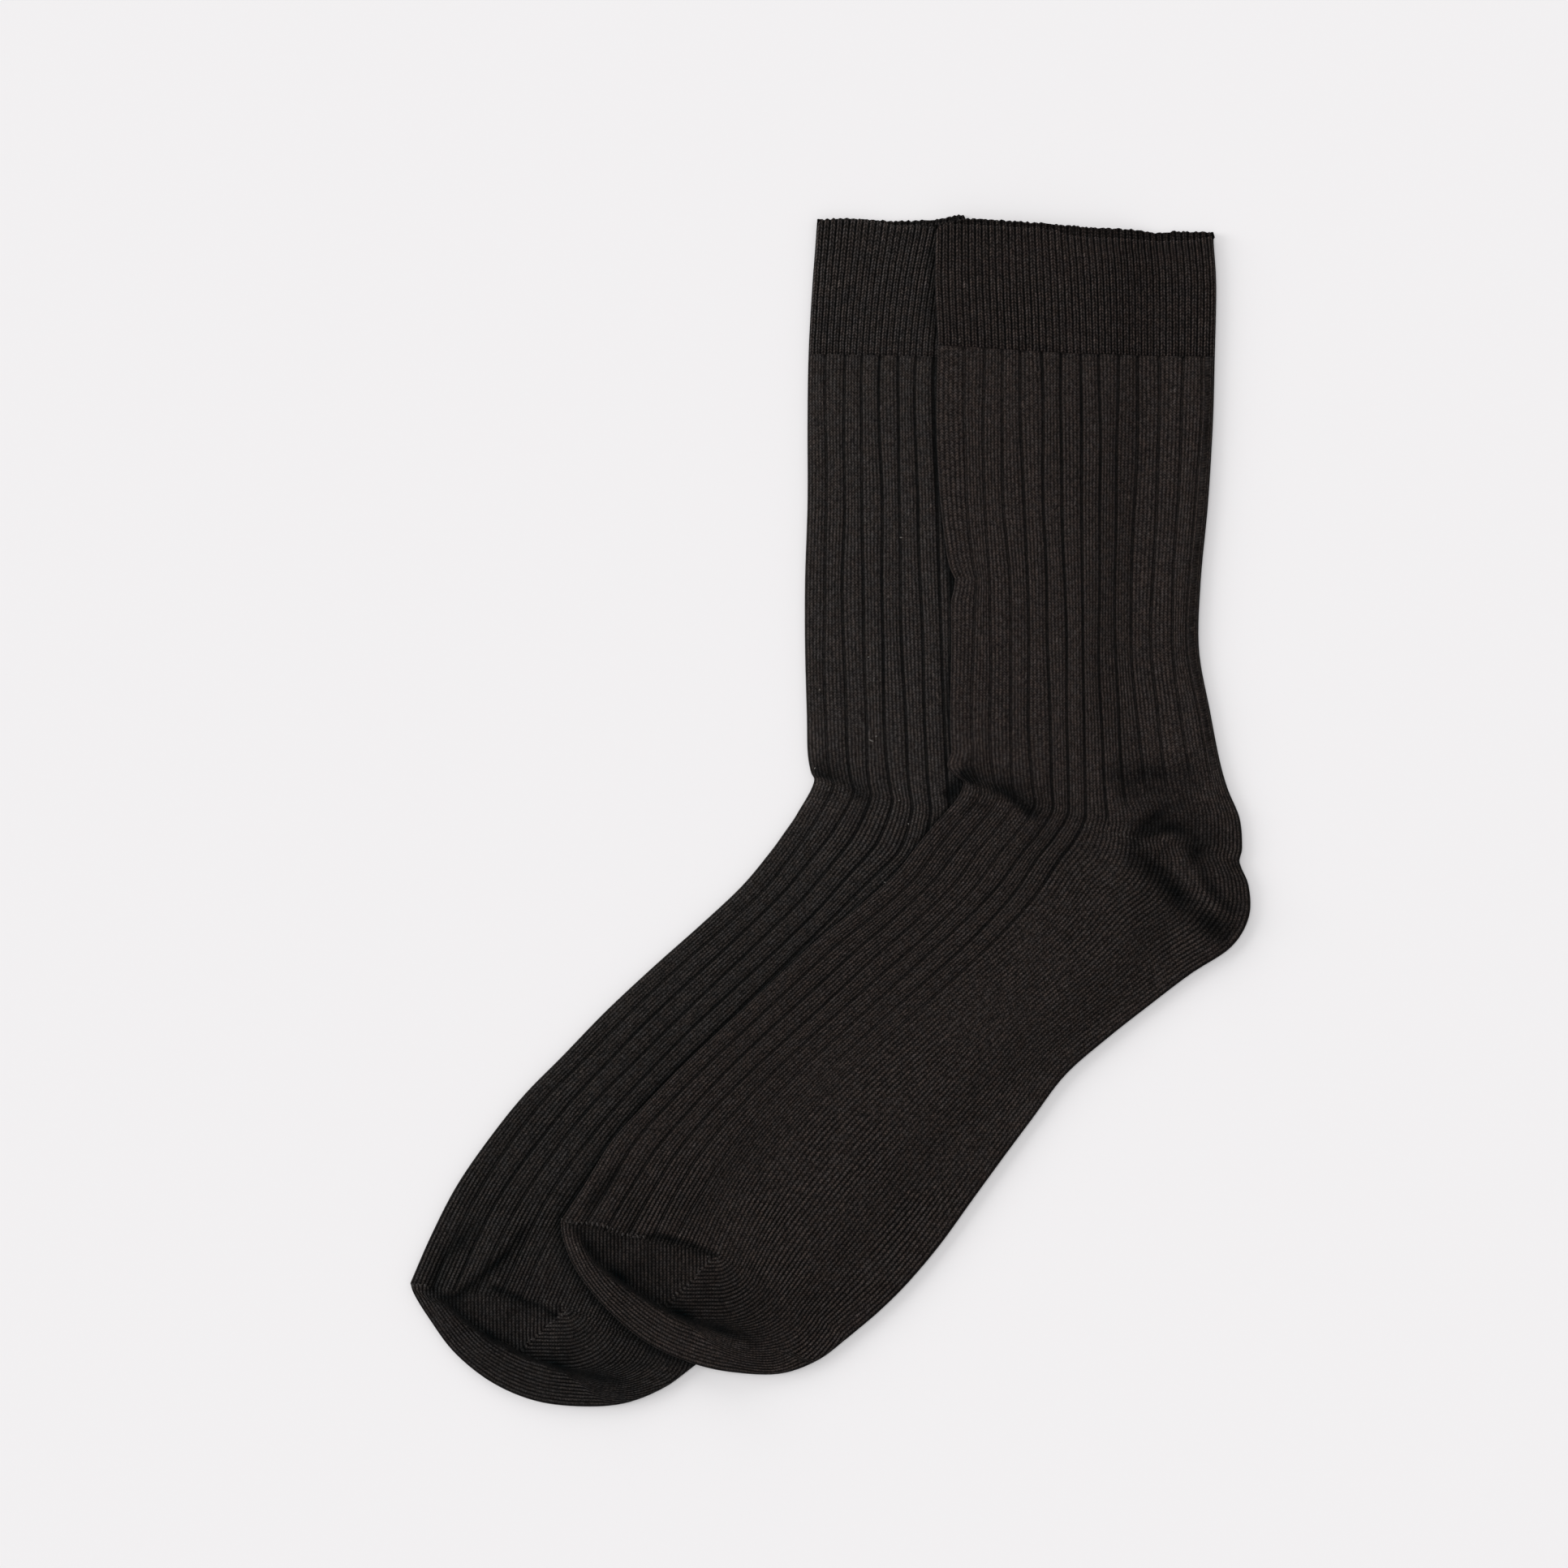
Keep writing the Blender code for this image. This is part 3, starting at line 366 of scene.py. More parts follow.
# How far the top sock's shade reaches over the under sock: place along the leg, reach.
CONTACT = ((-150.0, 2.2), (-95.0, 1.9), (-70.0, 1.3), (-60.0, 0.75), (-12.0, 0.75), (0.0, 1.0),
           (8.0, 1.2), (20.0, 0.8), (35.0, 1.6), (50.0, 0.65), (85.0, 0.75), (105.0, 1.2),
           (120.0, 0.8), (130.0, 1.4), (140.0, 2.1), (156.0, 2.1), (165.0, 1.0))

# Nips in the top sock's front edge, an ear over the ankle's notch, and the wider bend of the
# under sock's ribs round the ankle: middle, reach along the leg, reach across, size.
TOP_NIPS = (
    ((34.7, 65.2), 3.4, 7.0, 1.7),
    ((34.8, 12.6), 2.6, 5.0, -1.9),
    ((37.0, 8.3), 1.3, 4.0, 0.7),
)
UNDER_NIPS = (((22.0, -14.0), 11.0, 16.0, 4.0),)

# The top sock lies level on the under sock and comes down to the surface beside it.
DRAPE_RISE = CUFF_CROWN + SEAM_GAP
DRAPE_LEDGE = 3.5         # it stays up for this far past the under sock's edge
DRAPE_RAMP = 15.0         # and comes down over this distance

LEG_COURSE = 0.78         # height of a stitch in leg and foot
CUFF_COURSE = 0.86        # height of a stitch in the cuff
CUFF_FRONT_RIBS = 21
CUFF_BACK_RIBS = 22
CUFF_LAYERS = (((0.0, 0.12, 0.27, 0.5, 0.73, 0.88), True), ((0.0, 0.3, 0.7), False))
CUFF_ROW_STEPS = (("mouth", 0.7), ("cuff_middle", 2.4), ("welt", 2.0))
CUFF_RELIEF = 0.4         # depth of the grooves between the cuff's ribs
CUFF_GROOVE_SHADE = 0.75
RIM_REACH = 2.6           # the ribs stand out as separate loops for this far below the rim
RIM_GROOVE_SHADE = 0.6    # what the gaps between those loops add to the grooves' shade
LOOP_RISE = 0.3           # how far a rib's loop stands over the rim
LOOP_UNEVEN = 0.5         # and how unlike the loops are
RIM_BUMPS = 0.28          # unevenness of the back layer's rim
RIM_ROUND = 0.9           # both rims round off over this length
RIM_DIP = 0.4             # the layer that shows bends down to its rim
RIM_LIFT = 0.3            # and the layer below bends up
# Painted highlight on the tips of the rim's loops.
RIM_LIGHT = 0.8           # how much lighter the loops' tips are
BACK_RIM_SHADE = 0.75     # the back layer's rim lies in the front layer's shade
BACK_RIM_REACH = 4.0      # which reaches this far below the rim

# Loops of the linked toe seams and of the gores: line, step, half sizes of a loop, slant.
TOP_LOOPS = (
    (((-76.6, -116.5), (-73.5, -117.0), (-67.1, -117.4), (-62.8, -118.5), (-58.7, -120.2),
      (-55.3, -121.0), (-53.0, -121.0)), 1.5, (0.3, 0.62, 0.22), 0.3),
    (((-31.6, -125.6), (-31.4, -127.2), (-32.6, -128.4), (-34.4, -128.2), (-35.0, -127.0)), 1.1,
     (0.3, 0.45, 0.2), 0.6),
    (((-35.6, -128.8), (-37.2, -131.0), (-39.0, -133.2), (-41.2, -135.4), (-44.4, -137.6)), 1.25,
     (0.26, 0.5, 0.2), 0.9),
    (((72.5, -4.2), (77.9, -5.4), (82.1, -6.7), (86.7, -7.9)), 1.05, (0.24, 0.42, 0.16), 0.5),
)
UNDER_LOOPS = (
    (((-119.0, -135.2), (-117.2, -135.4), (-115.3, -135.3)), 1.1, (0.3, 0.55, 0.22), 0.2),
    (((-77.2, -144.4), (-75.6, -143.6), (-75.2, -142.0), (-76.4, -141.0)), 1.1,
     (0.3, 0.45, 0.2), 0.6),
    (((-78.6, -145.2), (-80.8, -147.2), (-83.2, -149.4), (-86.0, -151.4)), 1.25,
     (0.26, 0.5, 0.2), 0.9),
)
# No two loops are alike: how far they turn, how their sizes range, and how far they stray.
LOOP_TURN = 0.3
LOOP_SIZES = (0.6, 1.15)
LOOP_STRAY = 0.14
LOOP_SINK = 0.1           # they lie this deep in the cloth
# Lint on the under sock: place, half length, turn.
LINT = (
    ((13.2, 21.2), 0.35, 0.6), ((19.8, 6.0), 0.3, 1.2), ((19.7, 2.9), 0.3, 0.2),
    ((22.4, -3.8), 0.3, 2.0), ((-4.3, 12.1), 0.35, 0.9), ((20.3, 77.9), 0.4, 0.0),
    ((-2.9, 34.5), 0.3, 1.6), ((11.0, 43.8), 0.3, 0.4), ((16.1, -20.6), 0.9, -0.3),
    ((11.7, 20.0), 0.8, -0.5),
)
LINT_WIDTH = 0.16         # half width
LINT_HEIGHT = 0.12        # half height

# The lines that the knit draws: where its columns start, how dark the lines are between columns,
# between the two strands of a column and between loops, how much of them is left on the leg, and
# how dark a full shade is.
BODY_LOOK = {"start": 0.5, "columns": 0.72, "strands": 0.06, "loops": 0.5, "on_leg": 0.8, "shade": 0.82}
CUFF_LOOK = {"start": 0.0, "columns": 0.1, "strands": 0.9, "loops": 0.55, "on_leg": 1.0, "shade": 0.55}
# The lines weaken from toe to foot and from foot to leg, over these stretches in metres.
TOE_SPAN = (-0.12, -0.08)
HEEL_SPAN = (-0.012, 0.014)
TOE_LINES = 1.25          # their strength in the toe
LOOSE_LINES = (0.75, 1.05)          # and where the knit is loose or tight
# Grain of the knit: noise scales per metre, and how far stitches stray, in stitches.
COLUMN_WAVER_SCALE = 260.0
COLUMN_WAVER = 0.22
COLUMN_JITTER_SCALE = 1000.0
COLUMN_JITTER = 0.16
ROW_WAVER_SCALE = 190.0
ROW_WAVER = 0.5
LOOSENESS_SCALE = 75.0
PATCH_SCALE = 34.0
FUZZ_SCALE = 1500.0
DYE_SCALE = 480.0
STRAND_SLANT = 1.6        # how steeply the strands of a stitch run down to its middle
# How light the knit is, from dark to light grain, and as a slope and a start for each stitch
# and patch. A few stitches catch the light.
FUZZ_TONES = (0.45, 1.55)
STITCH_TONES = (0.6, 0.7)
PATCH_TONES = (0.16, 0.92)
SPARK_SHARE = 0.004
SPARK_LIGHT = 0.5
WARM_DYE = (1.035, 0.99, 0.955, 1.0)
COOL_DYE = (0.965, 1.01, 1.045, 1.0)
SHADE_TINT = (1.0, 0.95, 0.93)      # shade darkens red a little more than blue

# Name, tilt from straight overhead, compass turn, softness and strength of each light.
LIGHTS = (
    ("overhead light", 6.0, 225.0, 30.0, 1.25),
    ("low light from the left", 68.0, 260.0, 34.0, 1.4),
    ("low light from the cuffs", 68.0, 205.0, 34.0, 0.8),
)
SKY_COLOUR = (0.985, 0.99, 1.0, 1.0)
SKY_STRENGTH = 0.44
TABLE_SIZE = 4.0          # metres
TABLE_GAP = 0.03          # keeps the table's face clear of the cloth's
CAMERA_OVER = (-13.1, 7.6)          # the point of the layout that it looks down on
CAMERA_HEIGHT = 1.25      # metres
CAMERA_LENS = 100.4
CAMERA_SENSOR = 36.0
CAMERA_REACH = 20.0       # metres


# ---------------------------------------------------------------- curves and distances


def eased(value):
    value = np.clip(value, 0.0, 1.0)
    return value * value * (3.0 - 2.0 * value)


def spline(points, places):
    """Points at places along a smooth curve; place 1.5 is half way from point 1 to point 2."""
    points = np.asarray(points, float)
    padded = np.vstack([2 * points[0] - points[1], points, 2 * points[-1] - points[-2]])
    places = np.atleast_1d(places)
    start = np.clip(places.astype(int), 0, len(points) - 2)
    t = (places - start)[:, None]
    a, b, c, d = (padded[start + step] for step in range(4))
    square = 2 * a - 5 * b + 4 * c - d
    cube = 3 * b - a - 3 * c + d
    return 0.5 * (2 * b + (c - a) * t + square * t**2 + cube * t**3)


def smooth_line(points, fineness=8):
    """A smooth curve through points, as a line of short pieces."""
    return spline(points, np.linspace(0, len(points) - 1, fineness * len(points)))


def summed(steps):
    """Length from the start to each point, from the steps between points."""
    return np.concatenate([np.zeros_like(steps[:1]), np.cumsum(steps, axis=0)])


def line_steps(line):
    return np.hypot(*np.diff(line, axis=0).T)


def line_measure(points, line):
    """Signed distance from points to a line, positive on its left, and length along it."""
    best = np.full(len(points), np.inf)
    side = np.ones(len(points))
    along = np.zeros(len(points))
    done = 0.0
    for start, end in zip(line[:-1], line[1:]):
        span = end - start
        length = np.hypot(*span)
        offset = points - start
        part = np.clip(offset @ span / length**2, 0.0, 1.0)
        away = offset - part[:, None] * span
        distance = np.hypot(away[:, 0], away[:, 1])
        closer = distance < best
        best = np.where(closer, distance, best)
        turn = span[0] * offset[:, 1] - span[1] * offset[:, 0]
        side = np.where(closer, np.where(turn >= 0, 1.0, -1.0), side)
        along = np.where(closer, done + part * length, along)
        done += length
    return best * side, along, done


def outline_depth(points, outline):
    """Distance from points to a closed outline, positive inside it."""
    closed = np.vstack([outline, outline[:1]])
    inside = np.zeros(len(points), bool)
    for (x0, y0), (x1, y1) in zip(closed[:-1], closed[1:]):
        if y0 == y1:
            continue
        crosses = (y0 > points[:, 1]) != (y1 > points[:, 1])
        inside ^= crosses & (points[:, 0] < x0 + (points[:, 1] - y0) * (x1 - x0) / (y1 - y0))
    distance = np.abs(line_measure(points, closed)[0])
    return np.where(inside, distance, -distance)


def rounded_profile(table, column):
    """A lookup of heights or shades across a crease, with the table's corners rounded."""
    across = np.linspace(table[0][0] - 2.0, table[-1][0] + 2.0, 400)
    values = np.interp(across, [row[0] for row in table], [row[column] for row in table])
    weights = np.exp(-(((across[:, None] - across[None, :]) / CREASE_SOFTNESS) ** 2))
    return across, (weights @ values) / weights.sum(1)


def unevenness(along, seed):
    """A slow wander round 1 along a crease."""
    return 1.0 + 0.16 * np.sin(along / 3.1 + seed) + 0.12 * np.sin(along / 1.7 + 2.3 * seed)


# ---------------------------------------------------------------- how a sock lies


class Lie:
    """One sock's sections, mouth, creases and what it lies on."""

    def __init__(self, rows, toe, mouth, front_grooves, back_grooves, depths, fade, creases,
                 painted_shades, nips):
        self.columns = [np.array([row[column] for row in rows], float) for column in (1, 2, 3)]
        self.toe = np.array([rows[-1][3], *toe, rows[-1][1]], float)
        self.mouth = [np.array(rim, float) for rim in mouth]
        self.front_grooves = front_grooves
        self.back_grooves = back_grooves
        self.depths = depths
        self.fade = fade
        self.creases = creases
        self.painted_shades = [NAMES.index(name) for name, _ in painted_shades], [tone for _, tone in painted_shades]
        self.nips = nips
        self.below = None
        self.above = None
        places = np.arange(0, len(rows) - 1 + 0.01, 0.5)
        front, _, back = self.section(places)
        edge = spline(self.toe, np.linspace(len(self.toe) - 1, 0, 33))[1:-1]
        self.outline = np.vstack([front, edge, back[::-1]])

    def section(self, places):
        return [spline(column, places) for column in self.columns]

    def drape(self, plan):
        """Height of the sock's underside over the surface."""
        if self.below is None:
            return np.zeros(len(plan))
        outside = -outline_depth(plan, self.below.outline) - DRAPE_LEDGE
        return DRAPE_RISE * (1.0 - eased(outside / DRAPE_RAMP))

    def folds(self, plan):
        """Height and painted shade that the creases add to the layer that shows, with the top sock's
        painted shadow on the under sock.
        """
        height, shade = np.zeros(len(plan)), np.zeros(len(plan))
        for seed, (_, points, (fade_in, fade_out), table) in enumerate(self.creases):
            away, along, length = line_measure(plan, smooth_line(points))
            fade = eased(along / fade_in) * eased((length - along) / fade_out)
            fade = fade * unevenness(along, seed)
            across, heights = rounded_profile(table, 1)
            height += np.interp(away, across, heights, left=0.0, right=0.0) * fade
            across, shades = rounded_profile(table, 2)
            shade = toned(shade, np.interp(away, across, shades, left=0.0, right=0.0) * fade)
        inside = outline_depth(plan, self.outline)
        calm = eased(inside / FOLD_CALM)
        # The top sock's shadow on the under sock is painted shade, over the reach that CONTACT gives.
        if self.above is not None:
            beside = -outline_depth(plan, self.above.outline)
            reach = np.interp(plan[:, 1], *np.array(CONTACT).T)
            calm = calm * eased(beside / FOLD_CALM)
            shade = np.maximum(shade, np.exp(-((np.maximum(beside, 0.0) / reach) ** 2)))
        return height * calm, shade * eased(inside / SHADE_CALM)

    def row_places(self, steps, marks=()):
        """Places with the given lengths of cloth between them: a table of section and length."""
        stations = [NAMES.index(name) for name, _ in steps]
        fine = np.linspace(stations[0], stations[-1], 600)
        lengths = np.max([line_steps(line) for line in self.section(fine)], axis=0)
        run = summed(lengths / np.interp(fine[1:], stations, [step for _, step in steps]))
        places = np.interp(np.linspace(0, run[-1], int(run[-1]) + 2), run, fine)
        for mark in marks:
            nearest = np.argmin(np.abs(places - mark))
            places[nearest] = mark
            places = np.insert(places, nearest, mark)
        return places


def groove_places(lie, places):
    """Rib edges of the front and the back half at each section, from side line to fold."""
    welt, ankle, foot = (NAMES.index(name) for name in ("welt", "ankle_1", "foot_2"))
    leg, at_ankle = lie.front_grooves
    along = lie.section(places)[1][:, 1]
    sets = []
    for half in range(2):
        rows = []
        for place, y in zip(places, along):
            if half == 0:
                part = np.clip((place - welt) / (ankle - welt), 0, 1)
                marks = np.array(leg) * (1 - part) + np.array(at_ankle) * part
                part = np.clip((place - ankle) / (foot - ankle), 0, 1)
            else:
                marks = np.array(lie.back_grooves)
                part = eased((place - ankle) / HEEL_EVENS_OUT)
            marks = marks * (1 - part) + np.array(EVEN_GROOVES) * part
            turns = 2.1 * np.arange(1, RIBS) + half
            waver = np.sin(y / 17.0 + turns) + 0.6 * np.sin(y / 7.0 + 1.7 * turns)
            rows.append([0.0, *(marks + GROOVE_WAVER * waver), 1.0])
        sets.append(np.array(rows))
    return sets


def half_columns(lengths, edges, steps):
    """Parts of the way from side line to fold, and places in ribs, for each section."""
    parts, places = [], []
    for rib in range(RIBS):
        last = rib == RIBS - 1
        for step in (LAST_RIB_STEPS if last else steps):
            parts.append(edges[:, rib] + (edges[:, rib + 1] - edges[:, rib]) * step)
    inner = parts[-1]
    for index, distance in enumerate(FOLD_STEPS):
        part = 1.0 - distance / lengths
        if index == 0:
            part = np.maximum(part, inner + (1.0 - inner) * FOLD_CLEAR)
        parts.append(part)
    parts = np.array(parts).T
    for row, marks in zip(parts, edges):
        rib = np.clip(np.searchsorted(marks, row, side="right") - 1, 0, RIBS - 1)
        places.append(rib + (row - marks[rib]) / (marks[rib + 1] - marks[rib]))
    return parts, np.array(places)


def groove_shape(place, depths):
    """Depth of the rib grooves at each point, from the depths per section and groove."""
    nearest = np.clip(np.rint(place).astype(int), 0, RIBS)
    away = np.abs(place - nearest)
    core = CORE_DEPTH * np.exp(-((away / GROOVE_CORE) ** 2))
    slope = SLOPE_DEPTH * np.exp(-((away / GROOVE_SLOPE) ** 2))
    return (core + slope) * depths[np.arange(len(place))[:, None], nearest]


def swell_shape(place, fades):
    """How far each point falls from the middle of its rib."""
    rib = np.clip(place.astype(int), 0, RIBS - 1)
    return (2 * (place - rib) - 1) ** 2 * fades[np.arange(len(place))[:, None], rib]


def wale_counts(place, depths):
    """Stitch columns from the side line: even in plain knit, five on each rib in ribbed knit.

    Knit counts as ribbed where its groove has a third of the full depth.
    """
    rib = np.clip(place.astype(int), 0, RIBS - 1)
    rows = np.arange(len(place))[:, None]
    even = 0.5 / RIB_WALES
    left, right = (even + (PURL_WIDTH - even) * np.clip(3.0 * depths[rows, groove], 0.0, 1.0)
                   for groove in (rib, rib + 1))
    across = place - rib
    middle = 0.5 + (RIB_WALES - 1) * (across - left) / (1.0 - left - right)
    count = np.where(across < left, 0.5 * across / left, middle)
    count = np.where(across > 1.0 - right, RIB_WALES - 0.5 * (1.0 - across) / right, count)
    return RIB_WALES * rib + count


def rib_fades(lie, places, half):
    """How much of each groove is left at each section."""
    stations = [NAMES.index(name) for name, _ in lie.fade]
    grooves = np.array([row for _, row in lie.fade]).T
    instep = np.array([np.interp(places, stations, groove) for groove in grooves]).T
    if half == 0:
        return instep
    heel = eased((np.array(HEEL_RIB_ENDS) - places[:, None]) / HEEL_RIB_FADE + HEEL_RIB_LEFT)
    heel[:, 0] = instep[:, 0]
    return heel


def fold_round(distance):
    """Part of the half thickness that is left at a distance from a fold."""
    inwards = np.clip(distance / FOLD_RADIUS, 0.0, 1.0)
    return np.sqrt(np.clip(1.0 - (1.0 - inwards) ** 2, 0.0, 1.0))


def edge_shade(parts, side, fold):
    """The shade along a folded edge, where the cloth turns under and away from the light."""
    outwards = fold - side
    lengths = np.hypot(*outwards.T)
    away = 0.5 + 0.5 * outwards[:, 0] / lengths
    shade = (EDGE_SHADE + FAR_EDGE_SHADE * away)[:, None]
    return shade * np.exp(-(((1.0 - parts) * lengths[:, None] / EDGE_REACH) ** 2))


def heights(parts, lengths, groove, crown, relief, upper):
    """Height of the upper or the lower skin over the sock's underside."""
    keep = fold_round((1.0 - parts) * lengths[:, None])
    middle = crown / 2
    if upper:
        return middle + (crown - middle) * keep - relief * groove * keep
    return middle - middle * keep + UNDER_RELIEF * groove


# ---------------------------------------------------------------- knitted meshes


def knitted_grid(name, points, knit, dark):
    """A grid moved to the given places, with stitch counts as its UV map and its shade kept."""
    rows, columns = points.shape[:2]
    bpy.ops.object.select_all(action="DESELECT")
    bpy.ops.mesh.primitive_grid_add(x_subdivisions=columns - 1, y_subdivisions=rows - 1, size=2.0)
    grid = bpy.context.object
    grid.name = name
    mesh = grid.data
    start = np.zeros(len(mesh.vertices) * 3, np.float32)
    mesh.vertices.foreach_get("co", start)
    start = start.reshape(-1, 3)
    column = np.rint((start[:, 0] + 1) / 2 * (columns - 1)).astype(int)
    row = np.rint((1 - start[:, 1]) / 2 * (rows - 1)).astype(int)
    mesh.vertices.foreach_set("co", ((points[row, column] + SHIFT) * MM).astype(np.float32).ravel())
    corner = np.zeros(len(mesh.loops), np.int32)
    mesh.loops.foreach_get("vertex_index", corner)
    mesh.uv_layers[0].name = "knit"
    mesh.uv_layers[0].data.foreach_set("uv", knit[row, column][corner].astype(np.float32).ravel())
    # The "groove" attribute holds painted shade, not only of grooves: of creases, folded edges, whole
    # sections and the other sock's shadow, with painted light (below zero) on some ridges and loop tips.
    shade = mesh.attributes.new("groove", "FLOAT", "POINT")
    shade.data.foreach_set("value", dark[row, column].astype(np.float32))
    mesh.update()
    return grid


def close_shell(pieces, name, wall):
    """Joins grids along their shared edges and gives the cloth its thickness inwards."""
    bpy.ops.object.select_all(action="DESELECT")
    for piece in pieces:
        piece.select_set(True)
    bpy.context.view_layer.objects.active = pieces[0]
    if len(pieces) > 1:
        bpy.ops.object.join()
    shell = bpy.context.object
    shell.name = name
    shell.data.name = name
    bpy.ops.object.mode_set(mode="EDIT")
    bpy.ops.mesh.select_all(action="SELECT")
    bpy.ops.mesh.remove_doubles(threshold=0.01 * MM)
    bpy.ops.mesh.normals_make_consistent(inside=False)
    bpy.ops.object.mode_set(mode="OBJECT")
    thickness = shell.modifiers.new("cloth", "SOLIDIFY")
    thickness.thickness = wall * MM
    thickness.offset = -1.0
    bpy.ops.object.modifier_apply(modifier=thickness.name)
    bpy.ops.object.shade_smooth()
    return shell


def ring(front, back, column):
    """One value per point all round: over the front half, the back half, and back underneath."""
    upper_front, lower_front = front
    upper_back, lower_back = back
    return np.concatenate([
        upper_front[column][:, ::-1],
        upper_back[column][:, 1:],
        lower_back[column][:, -2::-1],
        lower_front[column][:, 1:],
    ], axis=1)


def toned(shade, tone):
    return 1.0 - (1.0 - shade) * (1.0 - tone)


def fading(plan):
    """The grooves' painted shade is deeper at some places than at others."""
    x, y = plan[..., 0], plan[..., 1]
    return 0.9 + 0.1 * np.sin(0.09 * y + 0.23 * x) + 0.08 * np.sin(0.21 * y - 0.4 * x)


def plan_points(side, fold, parts):
    return side[:, None, :] + (fold - side)[:, None, :] * parts[..., None]


def skin(lie, plan, height, upper, shade):
    """Plan points with their height, the drape and the creases, and how shaded they are."""
    flat = plan.reshape(-1, 2)
    z = height.ravel() + lie.drape(flat)
    if upper:
        raised, dark = lie.folds(flat)
        z = z + raised
        shade = toned(shade, dark.reshape(shade.shape))
    return np.column_stack([flat, z]).reshape(*plan.shape[:2], 3), shade


def nipped(lie, plan):
    """Draws the cloth across the leg, by the nips."""
    drawn = plan.copy()
    for middle, reach_along, reach_in, size in lie.nips:
        along = (plan[..., 1] - middle[1]) / reach_along
        inwards = (plan[..., 0] - middle[0]) / reach_in
        drawn[..., 0] += size * np.exp(-(along**2)) * np.exp(-(inwards**2))
    return drawn


def wale_numbers(wales, half, upper, quarter=QUARTER):
    """Numbers the stitch columns round the sock from the side line, by the back fold."""
    if upper:
        return wales if half else -wales
    return 2 * quarter - wales if half else 2 * quarter + wales


def column_runs(plan):
    """Length of cloth down each column of plan points."""
    return summed(np.linalg.norm(np.diff(plan, axis=0), axis=2))


def body_rows(side, back, parts, half, gore):
    """Length of cloth down the sock: even on the front half, mitred at the gore on the back."""
    run = column_runs(plan_points(side, back, parts))
    side_run = run[:, :1]
    if half == 0:
        return side_run * np.ones(parts.shape[1])
    lower = side_run[-1] - (run[-1] - run)
    before_gore = (np.arange(len(run)) <= gore)[:, None]
    return np.where(before_gore, run, lower)


def build_body(lie, name, wall, relief):
    """Leg, heel, foot and toe pocket of one sock."""
    gore_place = NAMES.index("heel_gore")
    places = lie.row_places(BODY_ROW_STEPS, marks=(gore_place,))
    gore = int(np.argmax(places == gore_place))
    front, side, back = lie.section(places)
    edges = groove_places(lie, places)
    halves = []
    for half, fold in enumerate((front, back)):
        lengths = np.hypot(*(fold - side).T)
        layers = []
        for steps, upper in LAYERS:
            parts, place = half_columns(lengths, edges[half], steps)
            fades = rib_fades(lie, places, half)
            depths = fades * np.array(lie.depths[half])
            groove = groove_shape(place, depths)
            z = heights(parts, lengths, groove, CROWN, relief, upper)
            if upper:
                z = z - RIB_SWELL * swell_shape(place, fades)
            plan = nipped(lie, plan_points(side, fold, parts))
            counts = body_rows(side, back, parts, half, gore) / LEG_COURSE
            around = wale_numbers(wale_counts(place, depths), half, upper)
            # Painted shade in the rib grooves and along the folded edges.
            dark = np.maximum(groove * fading(plan), edge_shade(parts, side, fold))
            points, dark = skin(lie, plan, z, upper, dark)
            # Painted shade of the section, darker over heel, foot and toe.
            dark = toned(dark, np.interp(places, *lie.painted_shades)[:, None])
            layers.append((points, np.dstack([around, counts]), dark))
        halves.append(layers)
    points, knit, dark = (ring(*halves, column) for column in range(3))
    tube = knitted_grid(name + "_tube", points, knit, dark)
    toe = build_toe(lie, side[-1], halves, name)
    return close_shell([tube, toe], name, wall)


def pocket_counts(lie, flat, inwards):
    """Stitch columns of the toe pocket that shows: mitred round its gore and even on its lip.

    The lip hides the stitches that lie folded under it, so its count runs from its own edge.
    """
    away = flat - lie.columns[1][-1]
    box = np.maximum(np.maximum(-away[:, 0], -away[:, 1]), 0.0)
    inner = np.where(away[:, 0] < 0.0, box, np.hypot(*away.T)) / PLAIN_WALE
    lip = QUARTER - inwards / PLAIN_WALE
    _, points, _, _ = lie.creases[0]
    beside, along, length = line_measure(flat, smooth_line(points))
    past_clear = (along - LIP_CLEAR * length) / ((1.0 - LIP_CLEAR) * length)
    width = LIP_BORDER + LIP_BLEND * eased(past_clear)
    on_lip = eased(0.5 - beside / width)
    return inner + (lip - inner) * on_lip, on_lip, away


def pocket_rows(plan, start, before_gore):
    """Stitch rows of the toe pocket: on from the sole to its gore, and back from the instep."""
    run = column_runs(plan)
    sole = start + run / LEG_COURSE
    tip = start - (run[-1] - run) / LEG_COURSE
    return np.where(before_gore, sole, tip)


